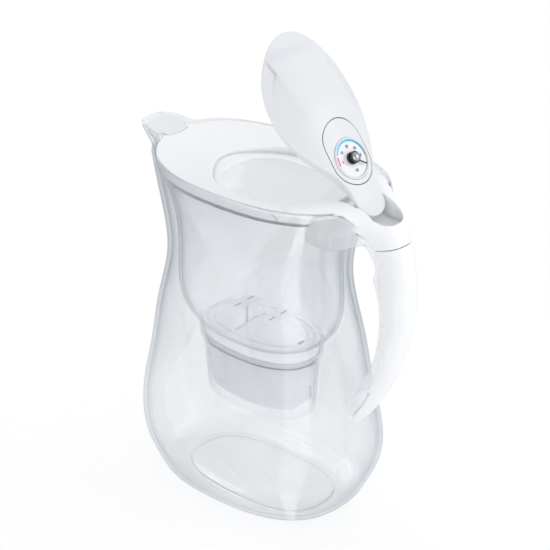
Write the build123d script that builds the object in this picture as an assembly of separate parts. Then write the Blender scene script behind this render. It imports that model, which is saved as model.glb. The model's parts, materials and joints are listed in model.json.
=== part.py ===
from build123d import *
import os
from math import cos, sin, pi, radians, hypot, atan2

# Water filter pitcher. Millimetres, +Z up, base on z = 0 and centred on the origin.
# X runs from the spout (-X) to the handle (+X), and Y = 0 is the plane of symmetry.

# Jug body
JUG_WALL = 3.0            # thickness of the clear wall
JUG_POWER = 2.36          # squareness of every section, 2 is an ellipse
FLOOR_THICKNESS = 4.0     # clear floor over the foot recess
FOOT_RECESS = 1.6         # depth of the hollow under the foot
FOOT_HALF_LENGTH = 65.5   # inner edge of the foot ring
FOOT_HALF_WIDTH = 36.4
FOOT_POWER = 2.6
RIM_Z = 279.0             # height of the rim beside the lid
RIM_RISE = 7.0            # how much higher the spout's lip stands
RISE_START_X = -30.0      # where along the jug the rim starts to rise
LEDGE_Z = 265.0           # ledge inside the rim that the water chamber hangs on
LEDGE_WIDTH = 1.2         # how much the wall thins above the ledge
NOTCH_Z = 277.0           # height of the cut-down rim under the lid's hood
NOTCH_HALF_WIDTH = 30.0
CHANNEL_NOTCH_Z = 268.5   # and under the channel that the cap's tab swings in
CHANNEL_NOTCH_HALF_WIDTH = 19.0
NOTCH_START_X = 80.0
TRIM_Z = 296.0            # the raw shell reaches this high before the rim is cut

# Jug sections: height, half length, half width, centre along the jug
JUG_SECTIONS = [
    (0.0, 70.0, 42.0, 0.0),
    (3.5, 80.0, 53.5, 0.0),
    (12.0, 89.5, 63.5, 0.0),
    (35.0, 101.0, 71.5, 0.0),
    (65.0, 106.5, 68.5, 0.0),
    (105.0, 99.5, 61.0, 0.0),
    (150.0, 91.4, 54.5, 0.0),
    (195.0, 80.7, 49.5, 0.0),
    (235.0, 85.0, 52.5, 1.0),
    (LEDGE_Z, 94.5, 60.0, 7.5),
    (TRIM_Z, 106.0, 68.0, 17.0),
]

# Spout nose: height, tip and share of the full width
NOSE_SECTIONS = [
    (222.0, -76.0, 0.80),
    (256.0, -94.5, 0.90),
    (TRIM_Z, -122.5, 1.0),
]
# Its outline behind the tip: distance from the tip and half width
NOSE_OUTLINE = [(58.0, 42.0), (44.0, 32.5), (32.0, 24.5), (20.0, 20.2), (8.0, 17.2), (2.2, 11.5)]

# Handle: the clear band on the jug and the white grip over it
BAND_HALF_WIDTH = 10.0
BAND_RIB = 5.0            # how deep the band reaches into the grip
ROOT_BOTTOM_Z = 250.0     # the clear root that flares out to the rim
ROOT_START_X = 66.0
ROOT_CORNER = 8.0         # rounding of its two lower corners
# Outline of the clear root seen from above, from its corner at the wall to the band
ROOT_FLARE = [(92.0, 41.0), (101.0, 34.5), (107.5, 26.0), (112.0, 16.0), (121.0, 9.0)]
GRIP_GAP = 0.15           # clearance of the band in the grip's groove
GRIP_POWER = 2.8
TIP_GAP = 0.3             # between the grip's tip and the wall
SEAM_GAP = 0.5            # between the grip and the lid's hood
SEAM_POINT = (121.8, 248.6)
SEAM_ANGLE = 18.0         # the seam rises outwards by this many degrees
MARK_POINT = (128.0, 187.5)   # bottom of the fine cut across the band's inner edge
MARK_WIDTH = 0.8

# Inner edge of the clear band, from the rim down to the bulge, with the finger bump
BAND_INNER = [(88.0, 249.5), (107.4, 249.1), (117.5, 241.4), (121.6, 231.6), (119.8, 223.8),
              (123.4, 211.5), (125.8, 196.0), (124.6, 173.0), (119.0, 150.8), (105.6, 124.0),
              (88.0, 101.0)]
# Edge where the clear band meets the white grip, one point for each of the inner edge
BAND_OUTER = [(88.0, 270.6), (110.0, 260.5), (121.8, 249.2), (127.3, 237.0), (124.8, 225.4),
              (129.0, 211.5), (131.0, 196.0), (129.3, 173.0), (122.6, 143.3), (105.6, 110.6),
              (90.0, 88.0)]

# Stations of the handle's outer skin, from the tip up to the seam and over the hood to the
# lid: outer point, inner point, half width
GRIP_STATIONS = [
    ((99.0, 86.0), (84.0, 93.0), 6.6),
    ((106.6, 96.6), (92.0, 105.0), 8.2),
    ((116.6, 110.0), (100.0, 120.0), 9.6),
    ((129.0, 131.0), (110.0, 141.0), 10.8),
    ((139.2, 156.0), (118.0, 163.0), 11.8),
    ((145.6, 181.0), (122.0, 185.0), 12.5),
    ((148.6, 203.0), (122.0, 204.0), 12.8),
    ((148.4, 222.0), (120.0, 221.0), 12.8),
    ((146.4, 239.0), (118.0, 234.0), 12.6),
]
HOOD_STATIONS = [
    ((142.6, 255.0), (112.0, 243.0), 12.8),
    ((138.4, 265.2), (106.5, 248.0), 13.8),
    ((132.0, 272.8), (102.0, 253.0), 16.8),
    ((121.0, 278.2), (97.0, 257.0), 22.5),
    ((108.0, 281.2), (92.5, 260.0), 33.0),
    ((94.0, 282.2), (87.0, 262.0), 42.5),
    ((78.0, 280.4), (76.0, 262.0), 48.5),
    ((60.0, 276.6), (60.0, 260.0), 51.5),
    ((42.0, 271.6), (42.0, 256.0), 52.5),
]
# Lower edge of the hood's flanks on both sides of the cap's channel
FLANK_EDGE = [(84.0, 281.5), (97.0, 279.0), (108.0, 274.5), (110.5, 270.4), (113.0, 263.6),
              (121.8, 249.2)]
FLANK_HALF_WIDTH = 19.5   # the flanks begin at this distance from the middle
HOOD_GAP = 0.4            # between the hood's lower edge and the clear root

# Water chamber and its filter well
CHAMBER_WALL = 2.0
CHAMBER_GAP = 0.3         # clearance of the flange inside the rim
FLANGE_THICKNESS = 2.0
CART_TOP_Z = 139.0        # the cartridge's rim, level with the chamber's floor
# Chamber sections: height, half length, half width, power, centre along the jug
CHAMBER_SECTIONS = [
    (CART_TOP_Z, 55.6, 34.0, 2.35, 1.0),
    (CART_TOP_Z + 9.0, 64.0, 36.0, 2.9, 1.0),
    (195.0, 70.0, 38.5, 3.0, 1.0),
    (235.0, 74.5, 42.5, 2.8, 2.0),
    (LEDGE_Z, 88.0, 53.5, 2.4, 6.5),
]
WELL_WALL = 1.8
WELL_GAP = 1.2            # space between the cartridge's case and the well
WELL_FLOOR_Z = 78.0
DRAIN_RADIUS = 2.5
DRAIN_SPACING = 15.0
DRAIN_COUNT = 5

# Filter cartridge
CART_CENTRE_X = 1.0
CART_HALF_LENGTH = 52.5
CART_HALF_WIDTH = 31.0
CART_POWER = 2.35
CART_BAND = 11.0          # height of the white band round its lid
CART_WALL = 1.5
CART_BOTTOM_Z = 83.0
CART_CASE_INSET = 3.2     # the case is narrower than the band
CART_TAPER = 3.0          # and narrows by this much to its bottom
CART_SEAT_GAP = 0.4       # play of the band in the chamber's floor
GROMMET_HEIGHT = 2.0
DENT_HALF_WIDTH = 10.0
DENT_HEIGHT = 17.0
DENT_DEPTH = 4.0
HUMP_HEIGHT = 14.6
HUMP_FOOT = (43.0, 23.0)  # half length and half width of the two humps' common foot
HUMP_CREST = (24.0, 13.0)
SCOOP_RADIUS = 12.5
SLOT_CENTRE = 17.6
SLOT_SPACING = 14.0
SLOT_LENGTH = 7.0
SLOT_WIDTH = 1.5
SLOT_DEPTH = 3.0
EDGE_SLOT_X = 41.8
RING_RADIUS = 11.5
RING_THICKNESS = 2.2
RING_HALF_WIDTH = 2.6
RING_TOP = 20.0           # the arch's top over the cartridge's rim
MESH_THICKNESS = 0.8
MESH_GAP = 0.2

# Lid
LID_GAP = 0.8             # clearance between lid and rim
LID_THICKNESS = 2.4
# Lengthways curve of the dished lid's top, from the spout to the handle
LID_TOP = [(-130.0, 284.6), (-86.0, 280.2), (-36.0, 274.4), (20.0, 272.2), (80.0, 272.8),
           (150.0, 276.2)]
DISH_RADIUS = 360.0       # its cross curve
OPENING_MARGIN = 4.0      # the recess for the cap is this much wider than the cap
NECK_MARGIN = 2.0         # and this much at the cap's neck
OPENING_BORDER = 9.5      # width of the border that the cap lies on
OPENING_START = 30.0      # distance from the cap's hinge where the opening begins
LEDGE_GAP = 0.4           # between the closed cap and that border
LEDGE_THICKNESS = 2.2
SKIRT_WALL = 1.8
SKIRT_INSET = 0.8         # the skirt stands this much inside the lid's edge
SKIRT_END_X = 64.0        # where the skirt ring ends on both sides
SKIRT_SLANT = 8.0
SKIRT_GAP = 0.4           # between the skirt and the chamber's flange
SKIRT_DIP = 5.4           # the skirt is cut away this far under the pour flap's pin
CHANNEL_FLOOR_Z = 271.4   # channel between the arms, under the cap's barrel
RECESS_START_X = 108.0    # thumb recess behind it
RECESS_END_X = 134.5
RECESS_HALF_WIDTH = 14.8
RECESS_FLOOR = [(108.0, 266.0), (113.0, 264.0), (122.0, 263.4), (130.0, 266.4), (136.0, 274.0)]

# Cap over the filling opening, laid out along a line from its hinge to its tip
HINGE_X = 104.9
HINGE_Z = 276.2
CAP_CLOSED_TILT = 3.5     # degrees that the closed cap slopes down to its tip
CAP_OPEN_ANGLE = 55.5     # degrees from closed to standing open
CAP_LENGTH = 136.5        # hinge to tip
CAP_RISE = 5.5            # height of that line over the hinge
CAP_TOP = (1.5, 5.0, 1.0) # height of the top's middle over the line: hinge, halfway, tip
CAP_EDGE = (-1.5, -8.5, -1.2)   # height of the lower edge over the line at these places
CAP_CROSS_RADIUS = 85.0
CAP_WALL = 2.2
CAP_NECK = 13.5           # half width at the hinge
CAP_TAB = 11.0            # length of the thumb tab behind the hinge
CAP_HOLLOW_START = 20.0
# Half widths of the cap's leaf outline at distances from the hinge
CAP_LEAF = [(12.0, 14.8), (25.0, 19.3), (45.0, 32.1), (65.0, 40.7), (85.0, 43.3),
            (105.0, 39.1), (122.0, 27.5), (131.0, 17.2)]
LINER_THICKNESS = 1.4
LINER_LIFT = 1.0          # how far the liner lies inside the cap's edge
LINER_GAP = 0.2
KNUCKLE_RADIUS = 3.6
PIN_RADIUS = 1.6
PIN_GAP = 0.05
PIN_HALF_LENGTH = 18.5

# Change indicator in the cap, placed along the cap from its hinge
PANEL_CENTRE = 39.5
PANEL_HALF_LENGTH = 25.3
PANEL_HALF_WIDTH = 18.6
PANEL_THICKNESS = 3.4
PANEL_GAP = 0.25
BACK_THICKNESS = 1.0
POCKET_DEPTH = 4.7
POCKET_FLOOR = 1.0
DIAL_CENTRE = 33.7
DIAL_RADIUS = 15.9        # of the scale disc in its well
DIAL_SINK = 1.2           # how deep the scale lies under the panel's top
DIAL_THICKNESS = 0.8
DIAL_GAP = 0.1
BEZEL_WIDTH = 1.3
BEZEL_HEIGHT = 1.3
KNOB_RADIUS = 4.6
KNOB_HEIGHT = 3.0
DOME_RADIUS = 3.4
POINTER_LENGTH = 12.8
POINTER_WIDTH = 0.9
POINTER_THICKNESS = 0.8
POINTER_ANGLE = -52.0     # direction of the pointer, from the cap's far side to its hinge
SPINDLE_RADIUS = 1.5
SPINDLE_GAP = 0.06

# Pour flap in the spout
FLAP_PIN_X = -86.0
FLAP_PIN_Z = 278.1
FLAP_BACK_RADIUS = 34.0   # curve of the joint between flap and lid
FLAP_BACK_X = -81.0
FLAP_THICKNESS = 1.8
FLAP_BARREL_RADIUS = 1.8
FLAP_PIN_RADIUS = 1.1
FLAP_PIN_HALF_LENGTH = 14.0
FLAP_GAP = 0.6
LUG_INNER = 11.6          # lugs of the lid that carry the flap's pin
LUG_OUTER = 14.2
LUG_FRONT_X = -88.5
LUG_BACK_X = -82.6        # just in front of the skirt ring

BIG = 400.0               # larger than the whole object


def signed_power(value, exponent):
    return abs(value) ** exponent * (1 if value > 0 else -1)


def oval_wire(half_length, half_width, power, centre_x, z, count=24):
    """Closed smooth outline of a squared ellipse, level at height z."""
    points = []
    for i in range(count):
        angle = 2 * pi * i / count
        x = centre_x + half_length * signed_power(cos(angle), 2 / power)
        points.append((x, half_width * signed_power(sin(angle), 2 / power), z))
    return Wire([Spline(*points, periodic=True)])


def oval_loft(rows, inset=0.0):
    """Smooth solid through rows of height, half length, half width, power and centre."""
    return Solid.make_loft([oval_wire(a - inset, b - inset, n, x, z) for z, a, b, n, x in rows])


def oval_disc(half_length, half_width, power, centre_x, z0, z1, narrowing=0.0):
    """Straight or evenly tapered oval block between two heights, narrower at the bottom."""
    return oval_loft([(z0, half_length - narrowing, half_width - narrowing, power, centre_x),
                      (z1, half_length, half_width, power, centre_x)])


def across_wire(outer, inner, half_width, power=GRIP_POWER, count=16):
    """Closed outline across the handle, between an outer and an inner point on Y = 0."""
    mid_x, mid_z = (outer[0] + inner[0]) / 2, (outer[1] + inner[1]) / 2
    reach = hypot(outer[0] - inner[0], outer[1] - inner[1]) / 2
    turn = atan2(outer[1] - inner[1], outer[0] - inner[0])
    points = []
    for i in range(count):
        angle = 2 * pi * i / count
        r = reach * signed_power(cos(angle), 2 / power)
        y = half_width * signed_power(sin(angle), 2 / power)
        points.append((mid_x + r * cos(turn), y, mid_z + r * sin(turn)))
    return Wire([Spline(*points, periodic=True)])


def block(x0, x1, y0, y1, z0, z1):
    """Block between two corners."""
    return Box(x1 - x0, y1 - y0, z1 - z0).moved(
        Location(((x0 + x1) / 2, (y0 + y1) / 2, (z0 + z1) / 2)))


def side_prism(edges, half_width):
    """Solid from a closed outline in the XZ plane, equally wide on both sides of Y = 0."""
    return extrude(Face(Wire(edges)), half_width, dir=(0, 1, 0), both=True)


def side_points(*points):
    """Straight edges through points given as x and z, closed."""
    corners = [(x, 0, z) for x, z in points]
    return [Line(a, b) for a, b in zip(corners, corners[1:] + corners[:1])]


def plan_prism(edges, z0, z1):
    """Solid from a closed outline at z = 0, lifted and extruded between two heights."""
    return extrude(Face(Wire(edges)), z1 - z0, dir=(0, 0, 1)).moved(Location((0, 0, z0)))


def jug_inside(inset):
    """The jug's body as a solid, with its surface moved in by inset."""
    return oval_loft([(z, a, b, JUG_POWER, x) for z, a, b, x in JUG_SECTIONS], inset)


def nose_inside(inset):
    """The spout's nose as a solid, with its surface moved in by inset."""
    wires = []
    for z, tip, share in NOSE_SECTIONS:
        side = [(tip + back, half * share) for back, half in NOSE_OUTLINE]
        points = side + [(tip, 0.0)] + [(x, -y) for x, y in reversed(side)]
        moved = []
        for i, (x, y) in enumerate(points):
            xa, ya = points[max(i - 1, 0)]
            xb, yb = points[min(i + 1, len(points) - 1)]
            length = hypot(xb - xa, yb - ya)
            moved.append((x - inset * (yb - ya) / length, y + inset * (xb - xa) / length, z))
        wires.append(Wire([Spline(*moved), Line(moved[-1], moved[0])]))
    return Solid.make_loft(wires)


def above_rim():
    """Everything above the rim line, which rises in a curve towards the spout."""
    tip_x = NOSE_SECTIONS[-1][1]
    lip_z = RIM_Z + RIM_RISE
    start, lip = (RISE_START_X, 0, RIM_Z), (tip_x, 0, lip_z)
    middle = ((start[0] + lip[0]) / 2, 0, RIM_Z + RIM_RISE / 4)
    edges = [Line((BIG, 0, RIM_Z), start), ThreePointArc(start, middle, lip),
             Line(lip, (-BIG, 0, lip_z)), Line((-BIG, 0, lip_z), (-BIG, 0, BIG)),
             Line((-BIG, 0, BIG), (BIG, 0, BIG)), Line((BIG, 0, BIG), (BIG, 0, RIM_Z))]
    return side_prism(edges, BIG)


def handle_curve(points):
    return Spline(*[(x, 0, z) for x, z in points])


def rib_points(extra=0.0):
    """The clear band's outer edge, pushed on into the grip."""
    points = []
    for (x0, z0), (x1, z1) in zip(BAND_INNER, BAND_OUTER):
        length = hypot(x1 - x0, z1 - z0)
        depth = BAND_RIB + extra if z1 < SEAM_POINT[1] else 0.0
        push = depth / length
        points.append((x1 + (x1 - x0) * push, z1 + (z1 - z0) * push))
    return points


def band_solid(extra=0.0):
    """The clear band of the handle, or with extra the groove that it sits in."""
    inner = handle_curve(BAND_INNER)
    outer = handle_curve(rib_points(extra))
    edges = [inner, Line(inner @ 1, outer @ 1), outer, Line(outer @ 0, inner @ 0)]
    return side_prism(edges, BAND_HALF_WIDTH + extra)


def under_flanks(gap=0.0):
    """Everything under the lower edge of the hood's two flanks."""
    line = handle_curve([(x + gap, z + gap) for x, z in FLANK_EDGE])
    start, end = line @ 0, line @ 1
    edges = [line, Line(end, (-BIG, 0, 40)), Line((-BIG, 0, 40), (-BIG, 0, start.Z)),
             Line((-BIG, 0, start.Z), start)]
    both = side_prism(edges, BIG)
    inner = FLANK_HALF_WIDTH + HOOD_GAP - gap
    return both - block(-BIG, BIG, -inner, inner, -BIG, BIG)


def inside_handle_line(gap=0.0):
    """Everything on the jug's side of the line where the clear band meets the white skin."""
    line = handle_curve([(x + gap, z) for x, z in BAND_OUTER])
    edges = [line, Line(line @ 1, (-BIG, 0, 40)), Line((-BIG, 0, 40), (-BIG, 0, 270.6)),
             Line((-BIG, 0, 270.6), line @ 0)]
    return side_prism(edges, BIG)


def seam_side(above):
    """Half space over or under the seam between the grip and the lid's hood."""
    place = Location((SEAM_POINT[0], 0, SEAM_POINT[1]), (0, -SEAM_ANGLE, 0))
    shift = -SEAM_GAP / 2 if above else SEAM_GAP / 2 - BIG
    return place * block(-BIG, BIG, -BIG, BIG, shift, shift + BIG)


def handle_skin():
    """The smooth outer form that runs from the grip's tip over the hood to the lid."""
    stations = GRIP_STATIONS + HOOD_STATIONS
    return Solid.make_loft([across_wire(*station) for station in stations])


def jug_body():
    outer = jug_inside(0) + nose_inside(0)
    low = jug_inside(JUG_WALL) & block(-BIG, BIG, -BIG, BIG, FLOOR_THICKNESS + FOOT_RECESS, BIG)
    hollow = low + nose_inside(JUG_WALL)
    wide = jug_inside(JUG_WALL - LEDGE_WIDTH) & block(-BIG, BIG, -BIG, BIG, LEDGE_Z, BIG)
    root = clear_root()
    mark = block(MARK_POINT[0] - 8, MARK_POINT[0], -BIG, BIG, MARK_POINT[1] - MARK_WIDTH / 2,
                 MARK_POINT[1] + MARK_WIDTH / 2)
    body = outer + (band_solid() - mark) + root - hollow - wide - above_rim()
    notch = rim_notch(0)
    recess = oval_disc(FOOT_HALF_LENGTH, FOOT_HALF_WIDTH, FOOT_POWER, 0, -1, FOOT_RECESS)
    return body - notch - recess


def rim_notch(gap):
    """Cut-down part of the rim under the hood, made smaller by a gap."""
    wide, deep = NOTCH_HALF_WIDTH - gap, CHANNEL_NOTCH_HALF_WIDTH - gap
    return block(NOTCH_START_X + gap, BIG, -wide, wide, NOTCH_Z + gap, BIG) \
        + block(NOTCH_START_X + gap, BIG, -deep, deep, CHANNEL_NOTCH_Z + gap, BIG)


def clear_root():
    """Flared clear block that carries the handle on the rim, rounded at its lower corners."""
    near = Spline(*[(x, -y, 0) for x, y in ROOT_FLARE])
    far = Spline(*[(x, y, 0) for x, y in ROOT_FLARE])
    back_near, back_far = [(ROOT_START_X, s * ROOT_FLARE[0][1], 0) for s in (-1, 1)]
    flare = plan_prism([near, Line(near @ 1, far @ 1), far, Line(far @ 0, back_far),
                        Line(back_far, back_near), Line(back_near, near @ 0)],
                       ROOT_BOTTOM_Z, RIM_Z)
    half = ROOT_FLARE[0][1]
    corners = block(ROOT_START_X, BIG, -half, half, ROOT_BOTTOM_Z + ROOT_CORNER, RIM_Z) \
        + block(ROOT_START_X, BIG, ROOT_CORNER - half, half - ROOT_CORNER, ROOT_BOTTOM_Z, RIM_Z)
    for s in (-1, 1):
        corners += Cylinder(ROOT_CORNER, BIG, rotation=(0, 90, 0)).moved(
            Location((BIG / 2 + ROOT_START_X, s * (half - ROOT_CORNER),
                      ROOT_BOTTOM_Z + ROOT_CORNER)))
    return flare & corners & (inside_handle_line() + under_flanks())


def handle_grip():
    grip = handle_skin() - inside_handle_line() - band_solid(GRIP_GAP) - seam_side(True)
    return grip - jug_inside(-TIP_GAP)


def well_row(z, clearance):
    """Size of the cartridge's case at a height, with a clearance round it."""
    share = (CART_TOP_Z - CART_BAND - z) / (CART_TOP_Z - CART_BAND - CART_BOTTOM_Z)
    inset = CART_CASE_INSET + CART_TAPER * share - clearance
    return (z, CART_HALF_LENGTH - inset, CART_HALF_WIDTH - inset, CART_POWER, CART_CENTRE_X)


def water_chamber():
    seat_z = CART_TOP_Z - CART_BAND - GROMMET_HEIGHT
    rim_inset = JUG_WALL - LEDGE_WIDTH + CHAMBER_GAP
    flange = jug_inside(rim_inset) & block(-BIG, BIG, -BIG, BIG, LEDGE_Z,
                                           LEDGE_Z + FLANGE_THICKNESS)
    outer = oval_loft(CHAMBER_SECTIONS)
    top_row = CHAMBER_SECTIONS[-1]
    mouth = oval_disc(top_row[1] - CHAMBER_WALL, top_row[2] - CHAMBER_WALL, top_row[3],
                      top_row[4], LEDGE_Z, LEDGE_Z + FLANGE_THICKNESS)
    seat_outer = oval_disc(CART_HALF_LENGTH + CART_SEAT_GAP + WELL_WALL,
                           CART_HALF_WIDTH + CART_SEAT_GAP + WELL_WALL, CART_POWER,
                           CART_CENTRE_X, seat_z - WELL_WALL, CART_TOP_Z)
    seat_inner = oval_disc(CART_HALF_LENGTH + CART_SEAT_GAP, CART_HALF_WIDTH + CART_SEAT_GAP,
                           CART_POWER, CART_CENTRE_X, seat_z, CART_TOP_Z)
    well_outer = oval_loft([well_row(WELL_FLOOR_Z - WELL_WALL, WELL_GAP + WELL_WALL),
                            well_row(seat_z - WELL_WALL, WELL_GAP + WELL_WALL)])
    well_inner = oval_loft([well_row(WELL_FLOOR_Z, WELL_GAP), well_row(seat_z, WELL_GAP)])
    drains = [Cylinder(DRAIN_RADIUS, 3 * WELL_WALL).moved(
        Location((CART_CENTRE_X + DRAIN_SPACING * (i - (DRAIN_COUNT - 1) / 2), 0, WELL_FLOOR_Z)))
        for i in range(DRAIN_COUNT)]
    shell = outer + flange + seat_outer + well_outer
    return shell - oval_loft(CHAMBER_SECTIONS, CHAMBER_WALL) - mouth - seat_inner \
        - well_inner - drains


def well_grommet():
    seat_z = CART_TOP_Z - CART_BAND - GROMMET_HEIGHT
    margin = 0.1
    ring = oval_disc(CART_HALF_LENGTH, CART_HALF_WIDTH, CART_POWER, CART_CENTRE_X,
                     seat_z + margin, seat_z + GROMMET_HEIGHT - margin)
    row = well_row(seat_z + GROMMET_HEIGHT, margin)
    return ring - oval_disc(row[1], row[2], row[3], row[4], seat_z - 1, seat_z + GROMMET_HEIGHT)


CASE_TOP_Z = CART_TOP_Z - 3.2
LID_PLATE_Z = CASE_TOP_Z + 0.1


def dent_block(extra=0.0):
    """Arched dent low in the case's handle end."""
    end_x = CART_CENTRE_X + CART_HALF_LENGTH - CART_CASE_INSET - CART_TAPER - DENT_DEPTH - extra
    half = DENT_HALF_WIDTH + extra
    low, high = CART_BOTTOM_Z - 1, CART_BOTTOM_Z + DENT_HEIGHT + extra
    arch = block(end_x, end_x + 20, -half, half, low, high - half / 2)
    crown = Cylinder(half, 20, rotation=(0, 90, 0)).moved(
        Location((end_x + 10, 0, high - half)))
    return arch + (crown & block(end_x, end_x + 20, -half, half, low, BIG))


def case_space(inset, z0, z1):
    """The room inside the case between two heights, moved in by inset."""
    return oval_loft([well_row(z0, -inset), well_row(z1, -inset)]) - dent_block(inset)


def cartridge_case():
    slots = [block(CART_CENTRE_X + x - 1, CART_CENTRE_X + x + 1, -9, 9, CART_BOTTOM_Z - 1,
                   CART_BOTTOM_Z + CART_WALL + 0.5) for x in (-28, -21, -14, -7, 0, 7, 14, 21, 28)]
    case = case_space(0, CART_BOTTOM_Z, CASE_TOP_Z)
    return case - case_space(CART_WALL, CART_BOTTOM_Z + CART_WALL, CASE_TOP_Z + 1) - slots


def mesh_disc(z0):
    return case_space(CART_WALL + MESH_GAP, z0, z0 + MESH_THICKNESS)


BOTTOM_MESH_Z = CART_BOTTOM_Z + CART_WALL + 0.1
TOP_MESH_Z = CASE_TOP_Z - 2.5


def filter_media():
    return case_space(CART_WALL + MESH_GAP, BOTTOM_MESH_Z + MESH_THICKNESS + 0.1,
                      TOP_MESH_Z - 0.1)


def hump_loft(inset, z0, z1):
    """The two humps' common form, from its foot up to its crest."""
    return oval_loft([
        (z0, HUMP_FOOT[0] - inset, HUMP_FOOT[1] - inset, 2.3, CART_CENTRE_X),
        (z1 - inset, HUMP_CREST[0] - inset, HUMP_CREST[1] - inset, 4.0, CART_CENTRE_X)])


def scoop(extra=0.0):
    """Bowl between the two humps, open to both sides."""
    floor_z = CART_TOP_Z - extra
    bowl = Cylinder(SCOOP_RADIUS + extra, 40).moved(
        Location((CART_CENTRE_X, 0, floor_z + 20)))
    side = SCOOP_RADIUS * 0.75 + extra
    return bowl + block(CART_CENTRE_X - side, CART_CENTRE_X + side, -30, 30, floor_z, floor_z + 40)


def cartridge_lid():
    crest_z = CART_TOP_Z + HUMP_HEIGHT
    plate_top = CART_TOP_Z - 0.9
    band = oval_disc(CART_HALF_LENGTH, CART_HALF_WIDTH, CART_POWER, CART_CENTRE_X,
                     CART_TOP_Z - CART_BAND, CART_TOP_Z, 0.8)
    band = fillet(band.edges().group_by(Axis.Z)[-1], 1.2)
    dish = oval_disc(CART_HALF_LENGTH - 2.6, CART_HALF_WIDTH - 2.6, CART_POWER, CART_CENTRE_X,
                     plate_top, CART_TOP_Z + 1)
    case_room = oval_loft([well_row(CART_TOP_Z - CART_BAND - 1, 0.1),
                           well_row(LID_PLATE_Z, 0.1)])
    humps = hump_loft(0, plate_top - 0.5, crest_z) - scoop()
    under = hump_loft(CART_WALL, LID_PLATE_Z - 0.5, crest_z) - scoop(CART_WALL)
    slots = [block(CART_CENTRE_X + sx * SLOT_CENTRE - SLOT_WIDTH / 2,
                   CART_CENTRE_X + sx * SLOT_CENTRE + SLOT_WIDTH / 2,
                   sy * SLOT_SPACING / 2 - SLOT_LENGTH / 2, sy * SLOT_SPACING / 2 + SLOT_LENGTH / 2,
                   crest_z - SLOT_DEPTH, crest_z + 1) for sx in (-1, 1) for sy in (-1, 1)]
    edge_slots = [block(CART_CENTRE_X + sx * EDGE_SLOT_X - SLOT_WIDTH / 2,
                        CART_CENTRE_X + sx * EDGE_SLOT_X + SLOT_WIDTH / 2,
                        -SLOT_LENGTH / 2, SLOT_LENGTH / 2, LID_PLATE_Z - 1, CART_TOP_Z + 1)
                  for sx in (-1, 1)]
    lid = band - case_room - dish + humps + pull_ring() - under
    return lid - slots - edge_slots


def pull_ring():
    """Arch between the humps that the cartridge is lifted by."""
    centre_z = CART_TOP_Z + RING_TOP - RING_RADIUS - RING_THICKNESS / 2
    outer = Cylinder(RING_RADIUS + RING_THICKNESS / 2, 2 * RING_HALF_WIDTH, rotation=(90, 0, 0))
    inner = Cylinder(RING_RADIUS - RING_THICKNESS / 2, 4 * RING_HALF_WIDTH, rotation=(90, 0, 0))
    arch = (outer - inner).moved(Location((CART_CENTRE_X, 0, centre_z)))
    arch = arch & block(-BIG, BIG, -BIG, BIG, centre_z, BIG)
    legs = [block(CART_CENTRE_X + s * RING_RADIUS - RING_THICKNESS / 2,
                  CART_CENTRE_X + s * RING_RADIUS + RING_THICKNESS / 2,
                  -RING_HALF_WIDTH, RING_HALF_WIDTH, CART_TOP_Z - 1.2, centre_z)
            for s in (-1, 1)]
    return arch + legs


def dish_sheet(drop, thickness):
    """Sheet that follows the lid's dished top, lowered by drop."""
    top = Spline(*[(x, 0, z - drop) for x, z in LID_TOP])
    low = Spline(*[(x, 0, z - drop - thickness) for x, z in reversed(LID_TOP)])
    face = Face(Wire([top, Line(top @ 1, low @ 0), low, Line(low @ 1, top @ 0)]))
    axis = Axis((0, 0, min(z for x, z in LID_TOP) + DISH_RADIUS), (1, 0, 0))
    half_turn = 18
    return revolve(face.rotate(axis, -half_turn), axis, 2 * half_turn)


def rim_room(gap):
    """The room inside the rim and the spout, less a gap."""
    return jug_inside(JUG_WALL - LEDGE_WIDTH + gap) + nose_inside(JUG_WALL + gap)


def flap_back(gap):
    """Round block in front of the lid, whose curved back is the joint to the pour flap."""
    return Cylinder(FLAP_BACK_RADIUS + gap, BIG).moved(
        Location((FLAP_BACK_X - FLAP_BACK_RADIUS, 0, RIM_Z)))


def cap_place(angle):
    """Where the cap stands when it is turned up by an angle from closed."""
    return Location((HINGE_X, 0, HINGE_Z), (0, angle - CAP_CLOSED_TILT, 0))


def leaf_prism(offset, height=60.0):
    """Leaf outline of the cap, with its neck and thumb tab, as an upright block."""
    side = [(-u, w + offset) for u, w in CAP_LEAF]
    points = [(x, -y) for x, y in side] + [(-(CAP_LENGTH + offset), 0)] + side[::-1]
    leaf = Spline(*[(x, y, 0) for x, y in points], tangents=[(-1, -0.2, 0), (1, -0.2, 0)])
    neck = CAP_NECK + offset
    end = CAP_TAB + offset
    tab = end - neck * 0.6
    edges = [leaf, Line(leaf @ 1, (tab, neck, 0)),
             ThreePointArc((tab, neck, 0), (end, 0, 0), (tab, -neck, 0)),
             Line((tab, -neck, 0), leaf @ 0)]
    return plan_prism(edges, -height, height)


def cap_arc(heights, shift):
    """Lengthways curve of the cap at heights over its hinge-to-tip line, moved by shift."""
    hinge, middle, tip = [CAP_RISE + h + shift for h in heights]
    return ThreePointArc((0, 0, hinge), (-CAP_LENGTH / 2, 0, middle), (-CAP_LENGTH, 0, tip))


def cap_profile(arc, level):
    """Face between a lengthways curve, drawn on level at both ends, and a level line."""
    start, end = arc @ 0, arc @ 1
    near, far = (40, 0, start.Z), (-CAP_LENGTH - 20, 0, end.Z)
    return Face(Wire([arc, Line(end, far), Line(far, (far[0], 0, level)),
                      Line((far[0], 0, level), (near[0], 0, level)),
                      Line((near[0], 0, level), near), Line(near, start)]))


def under_crown(drop):
    """Everything under the cap's crowned top, lowered by drop."""
    face = cap_profile(cap_arc(CAP_TOP, -drop), -35)
    axis = Axis((0, 0, CAP_RISE + CAP_TOP[1] - CAP_CROSS_RADIUS), (1, 0, 0))
    half_turn = 45
    return revolve(face.rotate(axis, -half_turn), axis, 2 * half_turn)


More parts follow.
